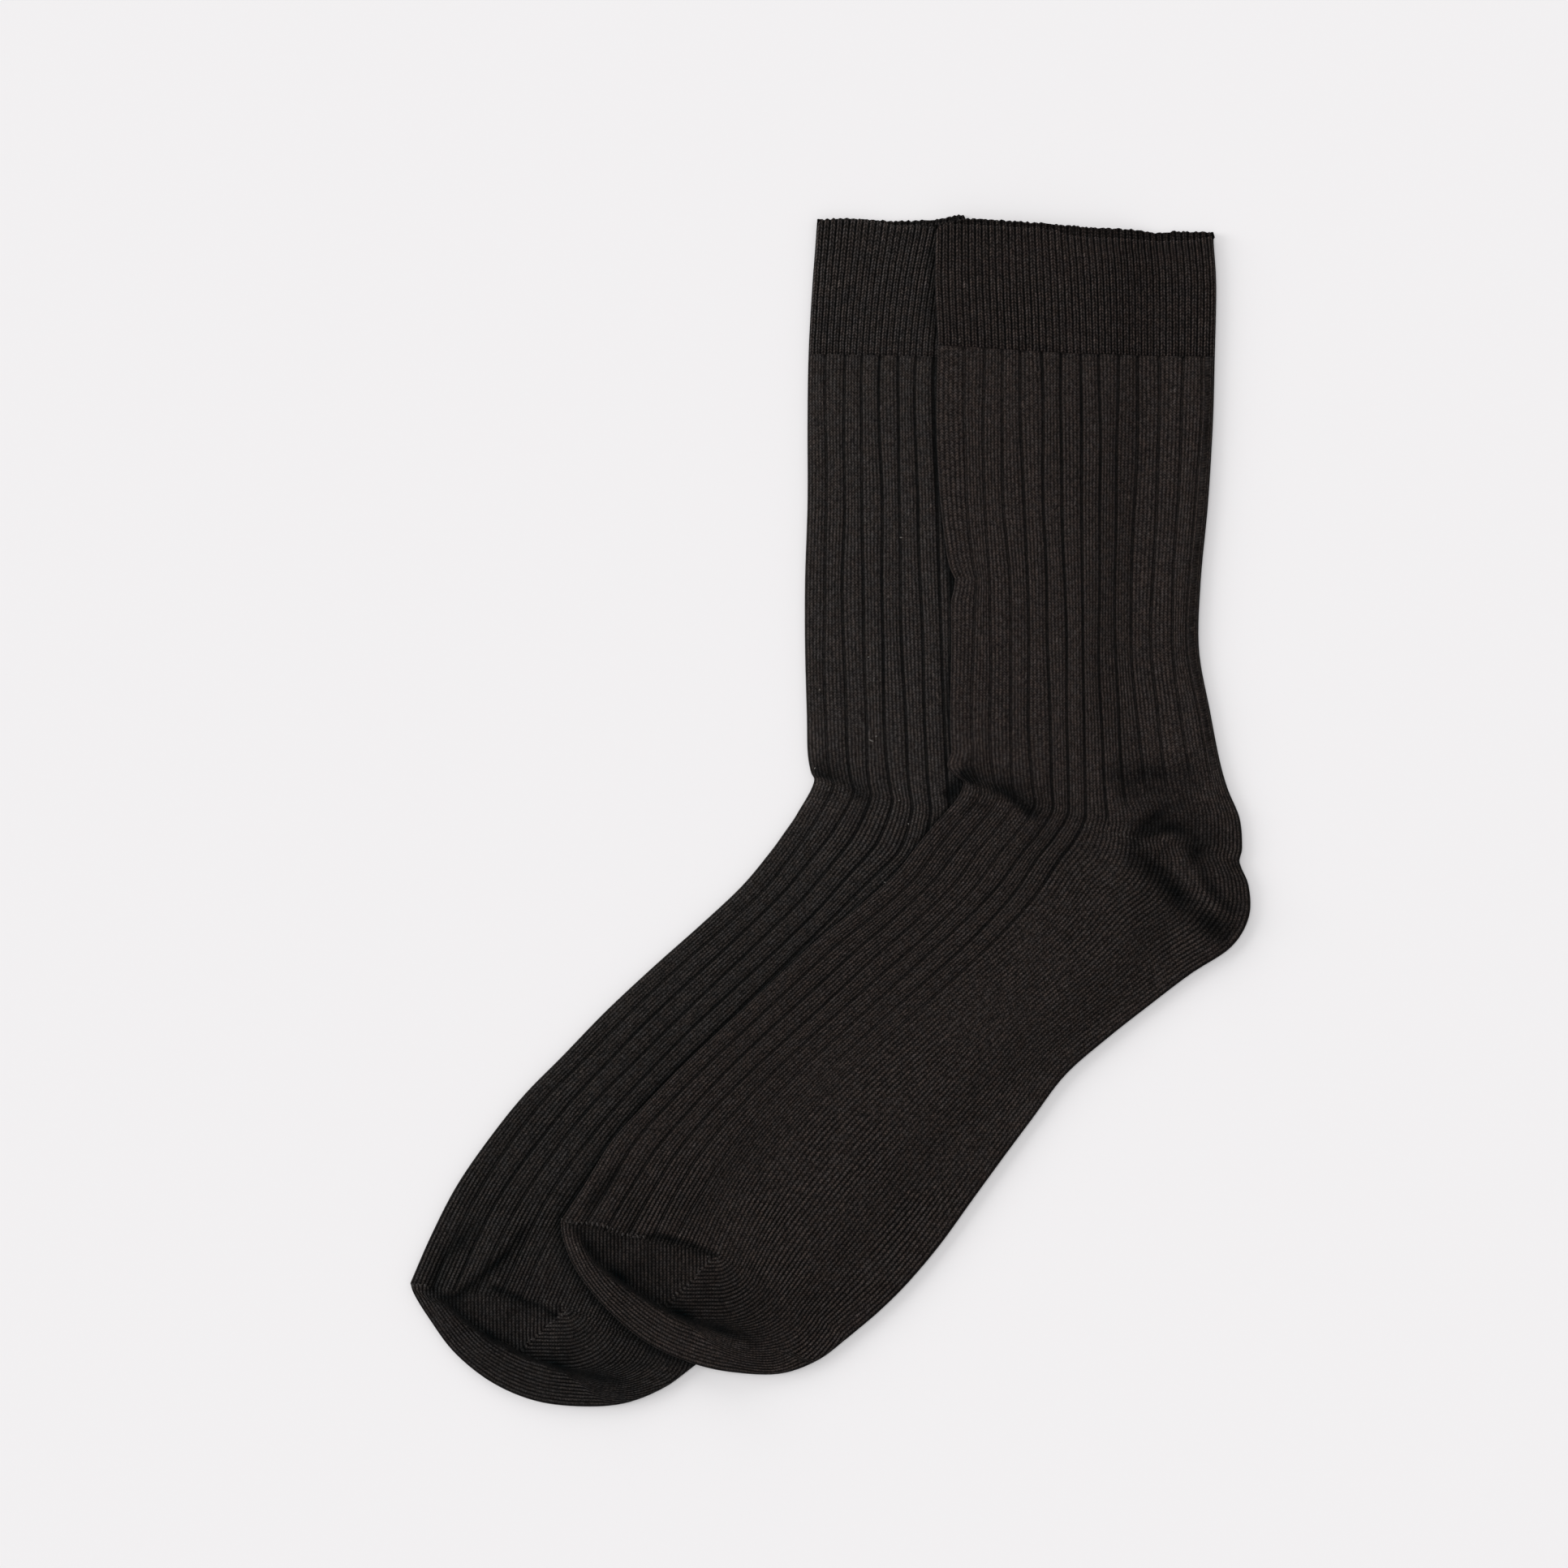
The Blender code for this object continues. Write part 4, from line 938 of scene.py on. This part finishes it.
def build_toe(lie, side, halves, name):
    """The toe pocket: sections that fan out from the end of the side line."""
    gore = int(round(TOE_RAYS * TOE_GORE))
    order = np.concatenate([np.arange(gore + 1), np.arange(gore, TOE_RAYS + 1)])
    before_gore = (np.arange(len(order)) <= gore)[:, None]
    fold = spline(lie.toe, order / TOE_RAYS * (len(lie.toe) - 1))
    sides = np.repeat(side[None], len(order), axis=0)
    lengths = np.hypot(*(fold - sides).T)
    edges = np.tile([0.0, *EVEN_GROOVES, 1.0], (len(order), 1))
    layers = []
    for (steps, upper), instep, sole in zip(LAYERS, *halves):
        parts, place = half_columns(lengths, edges, steps)
        wales = place * RIB_WALES
        plan = plan_points(sides, fold, parts)
        z = heights(parts, lengths, np.zeros_like(parts), CROWN, 0.0, upper)
        points, dark = skin(lie, plan, z, upper, edge_shade(parts, sides, fold))
        # Painted shade of the toe pocket.
        dark = toned(dark, lie.painted_shades[1][-1])
        start = sole[1][-1, :, 1]
        counts = pocket_rows(plan, start, before_gore)
        if upper:
            inwards = ((1.0 - parts) * lengths[:, None]).ravel()
            wales, on_lip, away = (field.reshape(*parts.shape, -1).squeeze()
                                   for field in pocket_counts(lie, plan.reshape(-1, 2), inwards))
            down = np.where(before_gore, np.minimum(away[..., 0], 0.0), -away[..., 1])
            box = start[0] + down / LEG_COURSE
            counts = counts + (box - counts) * (1.0 - on_lip) * (away[..., 0] < 0.0)
        for values, column in ((points, 0), (dark, 2)):
            values[0] = sole[column][-1]
            values[-1] = instep[column][-1]
        around = wale_numbers(wales, 1, upper)
        layers.append((points, np.dstack([around, counts]), dark))
    over, under = layers
    joined = [np.concatenate([over[column], under[column][:, -2::-1]], axis=1) for column in range(3)]
    return knitted_grid(name + "_toe", *joined)


def cuff_columns(lengths, ribs, steps):
    """Parts of the way from side line to fold, for each section of the cuff."""
    inner = [(rib + step) / ribs for rib in range(ribs - 1) for step in steps]
    columns = [np.full(len(lengths), part) for part in (*inner, (ribs - 1) / ribs)]
    columns += [1.0 - distance / lengths for distance in FOLD_STEPS if distance < FOLD_RADIUS]
    return np.array(columns).T


def rim_shift(lie, mouth, count, valley, keep, half, upper):
    """How far each column at the mouth moves along the leg to end in a loop at its rim."""
    rim = np.interp(mouth[:, 0], *lie.mouth[0 if upper else 1].T)
    if upper:
        uneven = 1.0 + LOOP_UNEVEN * np.sin(2.3 * np.floor(count + 0.5) ** 2)
        loops = LOOP_RISE * (1.0 - valley) * uneven
    else:
        loops = RIM_BUMPS * np.random.default_rng(half + 3).uniform(-0.7, 1.3, len(rim))
    return rim + loops * keep - mouth[:, 1]


def cuff_shade(groove, valley, run, near_rim, curl, edge, upper):
    """Shade of grooves, edges and the back rim, and light on the tips of the loops."""
    dark = np.maximum(groove * (CUFF_GROOVE_SHADE + RIM_GROOVE_SHADE * near_rim), edge)
    if upper:
        dark = dark - RIM_LIGHT * curl * (1.0 - valley)
    else:
        back_rim = BACK_RIM_SHADE * np.exp(-((run / BACK_RIM_REACH) ** 2))[:, None]
        dark = np.maximum(dark, back_rim)
    return np.clip(dark, -RIM_LIGHT, 1.0)


def build_cuff(lie, name, wall, relief):
    """The cuff of one sock, with fine ribs and two rims at different heights."""
    front, side, back = lie.section(lie.row_places(CUFF_ROW_STEPS))
    run = summed(line_steps(side))
    near_rim = np.exp(-((run / RIM_REACH) ** 2))[:, None]
    curl = np.exp(-((run / RIM_ROUND) ** 2))[:, None]
    halves = []
    for half, (fold, ribs) in enumerate(((front, CUFF_FRONT_RIBS), (back, CUFF_BACK_RIBS))):
        lengths = np.hypot(*(fold - side).T)
        layers = []
        for steps, upper in CUFF_LAYERS:
            parts = cuff_columns(lengths, ribs, steps)
            count = parts * ribs
            valley = 0.5 + 0.5 * np.cos(2 * np.pi * count)
            groove = valley**2
            z = heights(parts, lengths, groove * (1.0 + near_rim), CUFF_CROWN, relief, upper)
            z = z - RIM_DIP * curl if upper else z + RIM_LIFT * curl
            plan = plan_points(side, fold, parts)
            keep = fold_round((1.0 - parts[0]) * lengths[0])
            shift = rim_shift(lie, plan[0], count[0], valley[0], keep, half, upper)
            plan[..., 1] += shift[None, :] * eased(1.0 - run / MOUTH_REACH)[:, None]
            around = wale_numbers(count, half, upper, quarter=ribs)
            rows = np.repeat(run[:, None], parts.shape[1], axis=1) / CUFF_COURSE
            edge = edge_shade(parts, side, fold)
            dark = cuff_shade(groove, valley, run, near_rim, curl, edge, upper)
            points, dark = skin(lie, plan, z, upper, dark)
            layers.append((points, np.dstack([around, rows]), dark))
        halves.append(layers)
    points, knit, dark = (ring(*halves, column) for column in range(3))
    return close_shell([knitted_grid(name, points, knit, dark)], name, wall)


# ---------------------------------------------------------------- seam loops and lint


def surface(lie, plan):
    """Points on the layer that shows, as if it had no grooves."""
    flat = np.asarray(plan, float).reshape(-1, 2)
    rounded = CROWN / 2 * (1.0 + fold_round(outline_depth(flat, lie.outline)))
    return np.column_stack([flat, rounded + lie.drape(flat) + lie.folds(flat)[0]])


def walk(points, step):
    """Evenly spaced points along a smooth curve, with the direction at each."""
    fine = smooth_line(points, fineness=40)
    run = summed(line_steps(fine))
    marks = np.linspace(0, run[-1], int(run[-1] / step) + 1)
    at = np.column_stack([np.interp(marks, run, fine[:, axis]) for axis in (0, 1)])
    ahead = np.gradient(at, axis=0)
    return at, ahead / np.linalg.norm(ahead, axis=1)[:, None]


def bead_mesh(name, places, sizes, turns, material):
    """Small rounded loops of yarn: one bead is modelled and copied to every place."""
    bpy.ops.object.select_all(action="DESELECT")
    bpy.ops.mesh.primitive_uv_sphere_add(segments=8, ring_count=5, radius=1.0)
    bead = bpy.context.object
    bead.name = name
    source = bead.data
    corners = np.zeros(len(source.vertices) * 3, np.float32)
    source.vertices.foreach_get("co", corners)
    corners = corners.reshape(-1, 3)
    # The primitive numbers its faces differently in each run, so they are put in order.
    faces = sorted(list(face.vertices) for face in source.polygons)
    points, loops = [], []
    for place, size, turn in zip(places, sizes, turns):
        shaped = corners * size
        cosine, sine = np.cos(turn), np.sin(turn)
        turned = np.column_stack([
            shaped[:, 0] * cosine - shaped[:, 1] * sine,
            shaped[:, 0] * sine + shaped[:, 1] * cosine,
            shaped[:, 2],
        ])
        loops += [[corner + len(corners) * len(points) for corner in face] for face in faces]
        points.append((turned + place + SHIFT) * MM)
    mesh = bpy.data.meshes.new(name)
    mesh.from_pydata(np.vstack(points).tolist(), [], loops)
    bead.data = mesh
    bpy.data.meshes.remove(source)
    bpy.ops.object.shade_smooth()
    mesh.materials.append(material)
    return bead


def chain(lie, line, step, size, slant, seed):
    """Places, sizes and turns of the loops of a linked seam."""
    at, ahead = walk(line, step)
    chaos = np.random.default_rng(seed)
    turns = np.arctan2(ahead[:, 1], ahead[:, 0]) + slant + chaos.normal(0, LOOP_TURN, len(at))
    sizes = np.array(size) * chaos.uniform(*LOOP_SIZES, (len(at), 1))
    places = surface(lie, at + chaos.normal(0, LOOP_STRAY, at.shape)) - (0.0, 0.0, LOOP_SINK)
    return places, sizes, turns


# ---------------------------------------------------------------- materials


class Recipe:
    """Nodes of one material, added and linked one by one."""

    def __init__(self, name):
        self.material = bpy.data.materials.new(name)
        self.material.use_nodes = True
        self.tree = self.material.node_tree
        self.tree.nodes.clear()

    def node(self, kind, inputs=None, **settings):
        made = self.tree.nodes.new(kind)
        for setting, value in settings.items():
            setattr(made, setting, value)
        for socket, value in (inputs or {}).items():
            self.feed(made.inputs[socket], value)
        return made

    def feed(self, socket, value):
        if isinstance(value, bpy.types.NodeSocket):
            self.tree.links.new(value, socket)
        else:
            socket.default_value = value

    def math(self, operation, *values):
        return self.node("ShaderNodeMath", dict(enumerate(values)), operation=operation).outputs[0]

    def linear(self, value, scale, shift):
        return self.math("MULTIPLY_ADD", value, scale, shift)

    def product(self, value, *factors):
        for factor in factors:
            value = self.math("MULTIPLY", value, factor)
        return value

    def remap(self, value, low, high, new_low=0.0, new_high=1.0):
        inputs = {
            "Value": value, "From Min": low, "From Max": high, "To Min": new_low, "To Max": new_high,
        }
        return self.node("ShaderNodeMapRange", inputs, interpolation_type="SMOOTHSTEP").outputs["Result"]

    def noise(self, place, scale, detail=2.0, roughness=0.5):
        inputs = {"Vector": place, "Scale": scale, "Detail": detail, "Roughness": roughness}
        return self.node("ShaderNodeTexNoise", inputs).outputs["Fac"]

    def blend(self, part, first, second, kind="MIX"):
        made = self.node("ShaderNodeMix", data_type="RGBA", blend_type=kind)
        self.feed(made.inputs["Factor"], part)
        self.feed(made.inputs["A"], first)
        self.feed(made.inputs["B"], second)
        return made.outputs["Result"]

    def tinted(self, colour, light):
        """A colour that one value makes lighter or darker."""
        grey = self.node("ShaderNodeCombineColor", {0: light, 1: light, 2: light}).outputs["Color"]
        return self.blend(1.0, grey, (*colour, 1.0), "MULTIPLY")

    def finish(self, shader, bump=None):
        if bump is not None:
            self.feed(shader.inputs["Normal"], bump)
        output = self.node("ShaderNodeOutputMaterial")
        self.tree.links.new(shader.outputs[0], output.inputs["Surface"])
        return self.material


def stitch_places(recipe, place, start):
    """Column of the knit at each point, and row along the slanting strands of its stitches."""
    knit = recipe.node("ShaderNodeUVMap", uv_map="knit").outputs["UV"]
    split = recipe.node("ShaderNodeSeparateXYZ", {0: knit})
    waver = recipe.noise(place, COLUMN_WAVER_SCALE)
    jitter = recipe.noise(place, COLUMN_JITTER_SCALE, 1.0)
    waver = recipe.linear(waver, COLUMN_WAVER, start - (COLUMN_WAVER + COLUMN_JITTER) / 2)
    wale = recipe.linear(jitter, COLUMN_JITTER, recipe.math("ADD", split.outputs["X"], waver))
    stray = recipe.product(recipe.noise(place, ROW_WAVER_SCALE), ROW_WAVER)
    course = recipe.math("ADD", split.outputs["Y"], stray)
    across = recipe.math("ABSOLUTE", recipe.math("SUBTRACT", recipe.math("FRACT", wale), 0.5))
    return wale, recipe.math("SUBTRACT", course, recipe.product(across, STRAND_SLANT))


def column_lines(recipe, place, wale, look):
    """Light and dark across the columns, weaker on the leg and where the knit is loose."""
    turn = recipe.product(wale, 2 * np.pi)
    line = recipe.linear(recipe.math("COSINE", turn), -look["columns"], 1.0)
    strand = recipe.math("COSINE", recipe.product(turn, 2.0))
    line = recipe.linear(strand, -look["strands"], line)
    along = recipe.node("ShaderNodeSeparateXYZ", {0: place}).outputs["Y"]
    strength = recipe.product(
        recipe.remap(recipe.noise(place, LOOSENESS_SCALE), 0.35, 0.65, *LOOSE_LINES),
        recipe.remap(along, *TOE_SPAN, TOE_LINES, 1.0),
        recipe.remap(along, *HEEL_SPAN, 1.0, look["on_leg"]),
    )
    return recipe.linear(recipe.math("SUBTRACT", line, 1.0), strength, 1.0)


def stitch_tones(recipe, wale, row):
    """A value of its own for each strand of each stitch."""
    cell = recipe.node("ShaderNodeCombineXYZ", {
        0: recipe.math("FLOOR", wale),
        1: recipe.math("FLOOR", row),
        2: recipe.math("GREATER_THAN", recipe.math("FRACT", wale), 0.5),
    })
    return recipe.node("ShaderNodeTexWhiteNoise", {"Vector": cell.outputs[0]}).outputs["Value"]


def knit_material(name, colour, look, relief):
    """Columns of stitches that follow the piece's own stitch counts, darkened by the piece's painted
    shade.
    """
    recipe = Recipe(name)
    place = recipe.node("ShaderNodeTexCoord").outputs["Object"]
    wale, row = stitch_places(recipe, place, look["start"])
    line = column_lines(recipe, place, wale, look)
    loop = recipe.math("COSINE", recipe.product(row, 2 * np.pi))
    stitch = stitch_tones(recipe, wale, row)
    fuzz = recipe.noise(place, FUZZ_SCALE, 3.0, 0.7)
    light = recipe.product(
        line,
        recipe.linear(loop, look["loops"], 1.0),
        recipe.linear(stitch, *STITCH_TONES),
        recipe.remap(fuzz, 0.32, 0.68, *FUZZ_TONES),
        recipe.linear(recipe.noise(place, PATCH_SCALE), *PATCH_TONES),
        recipe.linear(recipe.math("GREATER_THAN", stitch, 1.0 - SPARK_SHARE), SPARK_LIGHT, 1.0),
    )
    # Painted shade and painted light, kept in the "groove" attribute, darken or lighten the knit's
    # colour, red a little more than blue.
    shade = recipe.node("ShaderNodeAttribute", attribute_name="groove").outputs["Fac"]
    shadow = recipe.node("ShaderNodeCombineColor", {
        channel: recipe.product(light, recipe.linear(shade, -look["shade"] * part, 1.0))
        for channel, part in enumerate(SHADE_TINT)}).outputs["Color"]
    dye = recipe.remap(recipe.noise(place, DYE_SCALE, 2.0, 0.6), 0.35, 0.65)
    paint = recipe.blend(1.0, shadow, (*colour, 1.0), "MULTIPLY")
    paint = recipe.blend(1.0, paint, recipe.blend(dye, WARM_DYE, COOL_DYE), "MULTIPLY")

    height = recipe.math("ADD", recipe.product(line, 0.5), recipe.product(fuzz, 0.3))
    bump = recipe.node("ShaderNodeBump", {"Strength": 1.0, "Distance": relief * MM, "Height": height})
    shader = recipe.node("ShaderNodeBsdfPrincipled", {
        "Base Color": paint, "Roughness": 0.9, "Specular IOR Level": 0.04,
        "Sheen Weight": 0.015, "Sheen Roughness": 0.5,
    })
    return recipe.finish(shader, bump.outputs["Normal"])


def yarn_material(name, colour):
    """Twisted yarn of seam loops and lint."""
    recipe = Recipe(name)
    place = recipe.node("ShaderNodeTexCoord").outputs["Object"]
    twist = recipe.noise(place, 1700.0, 3.0, 0.6)
    paint = recipe.tinted(colour, recipe.remap(twist, 0.3, 0.7, 0.7, 1.25))
    bump = recipe.node("ShaderNodeBump", {"Strength": 0.6, "Distance": 0.12 * MM, "Height": twist})
    shader = recipe.node("ShaderNodeBsdfPrincipled", {
        "Base Color": paint, "Roughness": 0.85, "Specular IOR Level": 0.25,
        "Sheen Weight": 0.1, "Sheen Roughness": 0.5,
    })
    return recipe.finish(shader, bump.outputs["Normal"])


def floor_material(colour):
    """Matt white with a grain that hardly shows."""
    recipe = Recipe("matt white table")
    grain = recipe.noise(recipe.node("ShaderNodeTexCoord").outputs["Object"], 900.0)
    shader = recipe.node("ShaderNodeBsdfPrincipled", {
        "Base Color": recipe.tinted(colour, recipe.remap(grain, 0.3, 0.7, 0.998, 1.0)),
        "Roughness": 0.9, "Specular IOR Level": 0.0,
    })
    return recipe.finish(shader)


# ---------------------------------------------------------------- the two socks


UNDER = Lie(UNDER_ROWS, UNDER_TOE, UNDER_MOUTH, (EVEN_GROOVES, EVEN_GROOVES), EVEN_GROOVES,
            (UNDER_DEPTHS, UNDER_DEPTHS), UNDER_FADE, UNDER_CREASES, UNDER_PAINTED_SHADES, UNDER_NIPS)
TOP = Lie(TOP_ROWS, TOP_TOE, TOP_MOUTH, (TOP_INSTEP_GROOVES, TOP_ANKLE_GROOVES), TOP_HEEL_GROOVES,
          (TOP_FRONT_DEPTHS, TOP_BACK_DEPTHS), TOP_FADE, TOP_CREASES, TOP_PAINTED_SHADES, TOP_NIPS)
TOP.below = UNDER
UNDER.above = TOP
SEAMS = (("under", UNDER, UNDER_LOOPS), ("top", TOP, TOP_LOOPS))


class SockSizes(bpy.types.PropertyGroup):
    """Sizes of the knitting."""

    wall: bpy.props.FloatProperty(
        name="Cloth", description="Thickness of one layer",
        default=WALL * MM, unit="LENGTH", subtype="DISTANCE")
    groove: bpy.props.FloatProperty(
        name="Rib groove", description="Depth of the grooves between the leg ribs",
        default=GROOVE_RELIEF * MM, unit="LENGTH", subtype="DISTANCE")
    stitch: bpy.props.FloatProperty(
        name="Stitch relief", description="How far a stitch stands over the gap beside it",
        default=STITCH_RELIEF * MM, unit="LENGTH", subtype="DISTANCE", precision=5)


class SockColours(bpy.types.PropertyGroup):
    """Colours of the yarn and of the table."""

    body: bpy.props.FloatVectorProperty(
        name="Leg and foot", description="Yarn of the top sock's leg and foot", size=3, subtype="COLOR",
        default=(0.0192, 0.0152, 0.0138), min=0.0, max=1.0)
    cuff: bpy.props.FloatVectorProperty(
        name="Cuff", description="Yarn of the top sock's cuff", size=3, subtype="COLOR",
        default=(0.0184, 0.0143, 0.0130), min=0.0, max=1.0)
    under_body: bpy.props.FloatVectorProperty(
        name="Under leg and foot", description="Yarn of the under sock's leg and foot", size=3,
        subtype="COLOR", default=(0.0208, 0.0176, 0.0163), min=0.0, max=1.0)
    under_cuff: bpy.props.FloatVectorProperty(
        name="Under cuff", description="Yarn of the under sock's cuff", size=3, subtype="COLOR",
        default=(0.0218, 0.0182, 0.0170), min=0.0, max=1.0)
    seam: bpy.props.FloatVectorProperty(
        name="Seam", description="Linking yarn of the toe seam", size=3, subtype="COLOR",
        default=(0.029, 0.025, 0.023), min=0.0, max=1.0)
    lint: bpy.props.FloatVectorProperty(
        name="Lint", description="Fluff on the under sock", size=3, subtype="COLOR",
        default=(0.13, 0.12, 0.11), min=0.0, max=1.0)
    table: bpy.props.FloatVectorProperty(
        name="Table", description="Table under the socks", size=3, subtype="COLOR",
        default=(0.815, 0.80, 0.805), min=0.0, max=1.0)


def knit_sock(context, lie, sock, colours):
    """Builds body and cuff of one sock and sets them in place of their solids."""
    sizes = context.scene.sock_sizes
    pieces = []
    for part, build, colour, look, relief in (
        ("body", build_body, colours[0], BODY_LOOK, sizes.groove / MM),
        ("cuff", build_cuff, colours[1], CUFF_LOOK, CUFF_RELIEF),
    ):
        name = f"{sock}_sock_{part}"
        piece = build(lie, name + "_knit", sizes.wall / MM, relief)
        piece.data.materials.clear()
        piece.data.materials.append(
            knit_material(f"{sock} sock {part} knit", colour, look, sizes.stitch / MM))
        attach(piece, "root")
        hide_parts(name)
        pieces.append(piece)
    return pieces


class SOCKS_OT_under_sock(bpy.types.Operator):
    """Knit the sock that lies underneath"""

    bl_idname = "socks.under_sock"
    bl_label = "Under sock"

    def execute(self, context):
        colours = context.scene.sock_colours
        body, cuff = knit_sock(context, UNDER, "under", (colours.under_body, colours.under_cuff))
        return {"FINISHED"}


class SOCKS_OT_top_sock(bpy.types.Operator):
    """Knit the sock that lies on top"""

    bl_idname = "socks.top_sock"
    bl_label = "Top sock"

    def execute(self, context):
        colours = context.scene.sock_colours
        body, cuff = knit_sock(context, TOP, "top", (colours.body, colours.cuff))
        return {"FINISHED"}


class SOCKS_OT_seams(bpy.types.Operator):
    """Add the loops of the toe seams and gores, and the lint on the under sock"""

    bl_idname = "socks.seams"
    bl_label = "Seams and lint"

    def execute(self, context):
        colours = context.scene.sock_colours
        for seed, (sock, lie, lines) in enumerate(SEAMS):
            chains = [chain(lie, *line, seed) for line in lines]
            places, sizes, turns = (np.concatenate(values) for values in zip(*chains))
            yarn = yarn_material(f"{sock} sock seam yarn", colours.seam)
            loops = bead_mesh(f"{sock}_sock_seam_loops", places, sizes, turns, yarn)
            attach(loops, "root")
        places = surface(UNDER, [place for place, _, _ in LINT])
        sizes = np.array([(length, LINT_WIDTH, LINT_HEIGHT) for _, length, _ in LINT])
        fluff = yarn_material("pale lint", colours.lint)
        lint = bead_mesh("under_sock_lint", places, sizes, [turn for _, _, turn in LINT], fluff)
        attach(lint, "root")
        return {"FINISHED"}


class SOCKS_OT_studio(bpy.types.Operator):
    """Add the table, the soft lights and the camera"""

    bl_idname = "socks.studio"
    bl_label = "Table, lights and camera"

    def execute(self, context):
        scene = context.scene
        bpy.ops.object.select_all(action="DESELECT")
        bpy.ops.mesh.primitive_grid_add(x_subdivisions=8, y_subdivisions=8, size=TABLE_SIZE)
        table = context.object
        table.name = "table"
        table.location.z = -TABLE_GAP * MM
        table.data.materials.append(floor_material(scene.sock_colours.table))

        world = bpy.data.worlds.new("studio")
        world.use_nodes = True
        sky = world.node_tree.nodes["Background"]
        sky.inputs["Color"].default_value = SKY_COLOUR
        sky.inputs["Strength"].default_value = SKY_STRENGTH
        scene.world = world
        for name, tilt, turn, angle, energy in LIGHTS:
            bpy.ops.object.light_add(type="SUN", rotation=(np.radians(tilt), 0.0, np.radians(turn)))
            light = context.object
            light.name = name
            light.data.angle = np.radians(angle)
            light.data.energy = energy

        over = (np.array(CAMERA_OVER) + SHIFT[:2]) * MM
        bpy.ops.object.camera_add(location=(*over, CAMERA_HEIGHT))
        camera = context.object
        camera.name = "overhead camera"
        camera.data.lens = CAMERA_LENS
        camera.data.sensor_width = CAMERA_SENSOR
        camera.data.clip_end = CAMERA_REACH
        scene.camera = camera
        scene.view_settings.view_transform = "Standard"
        return {"FINISHED"}


class SOCKS_PT_panel(bpy.types.Panel):
    """Lists the socks' sizes, colours and makers"""

    bl_label = "Pair of socks"
    bl_idname = "SOCKS_PT_panel"
    bl_space_type = "VIEW_3D"
    bl_region_type = "UI"
    bl_category = "Socks"

    def draw(self, context):
        for group in (context.scene.sock_sizes, context.scene.sock_colours):
            for field in group.__annotations__:
                self.layout.prop(group, field)
        for step in STEPS:
            self.layout.operator(step.bl_idname)


STEPS = (SOCKS_OT_studio, SOCKS_OT_under_sock, SOCKS_OT_top_sock, SOCKS_OT_seams)
CLASSES = (SockSizes, SockColours, *STEPS, SOCKS_PT_panel)


def register():
    for kind in CLASSES:
        bpy.utils.register_class(kind)
    bpy.types.Scene.sock_sizes = bpy.props.PointerProperty(type=SockSizes)
    bpy.types.Scene.sock_colours = bpy.props.PointerProperty(type=SockColours)


def unregister():
    del bpy.types.Scene.sock_colours
    del bpy.types.Scene.sock_sizes
    for kind in reversed(CLASSES):
        bpy.utils.unregister_class(kind)


def main():
    register()
    bpy.ops.socks.studio()
    bpy.ops.socks.under_sock()
    bpy.ops.socks.top_sock()
    bpy.ops.socks.seams()


if __name__ == "__main__":
    main()
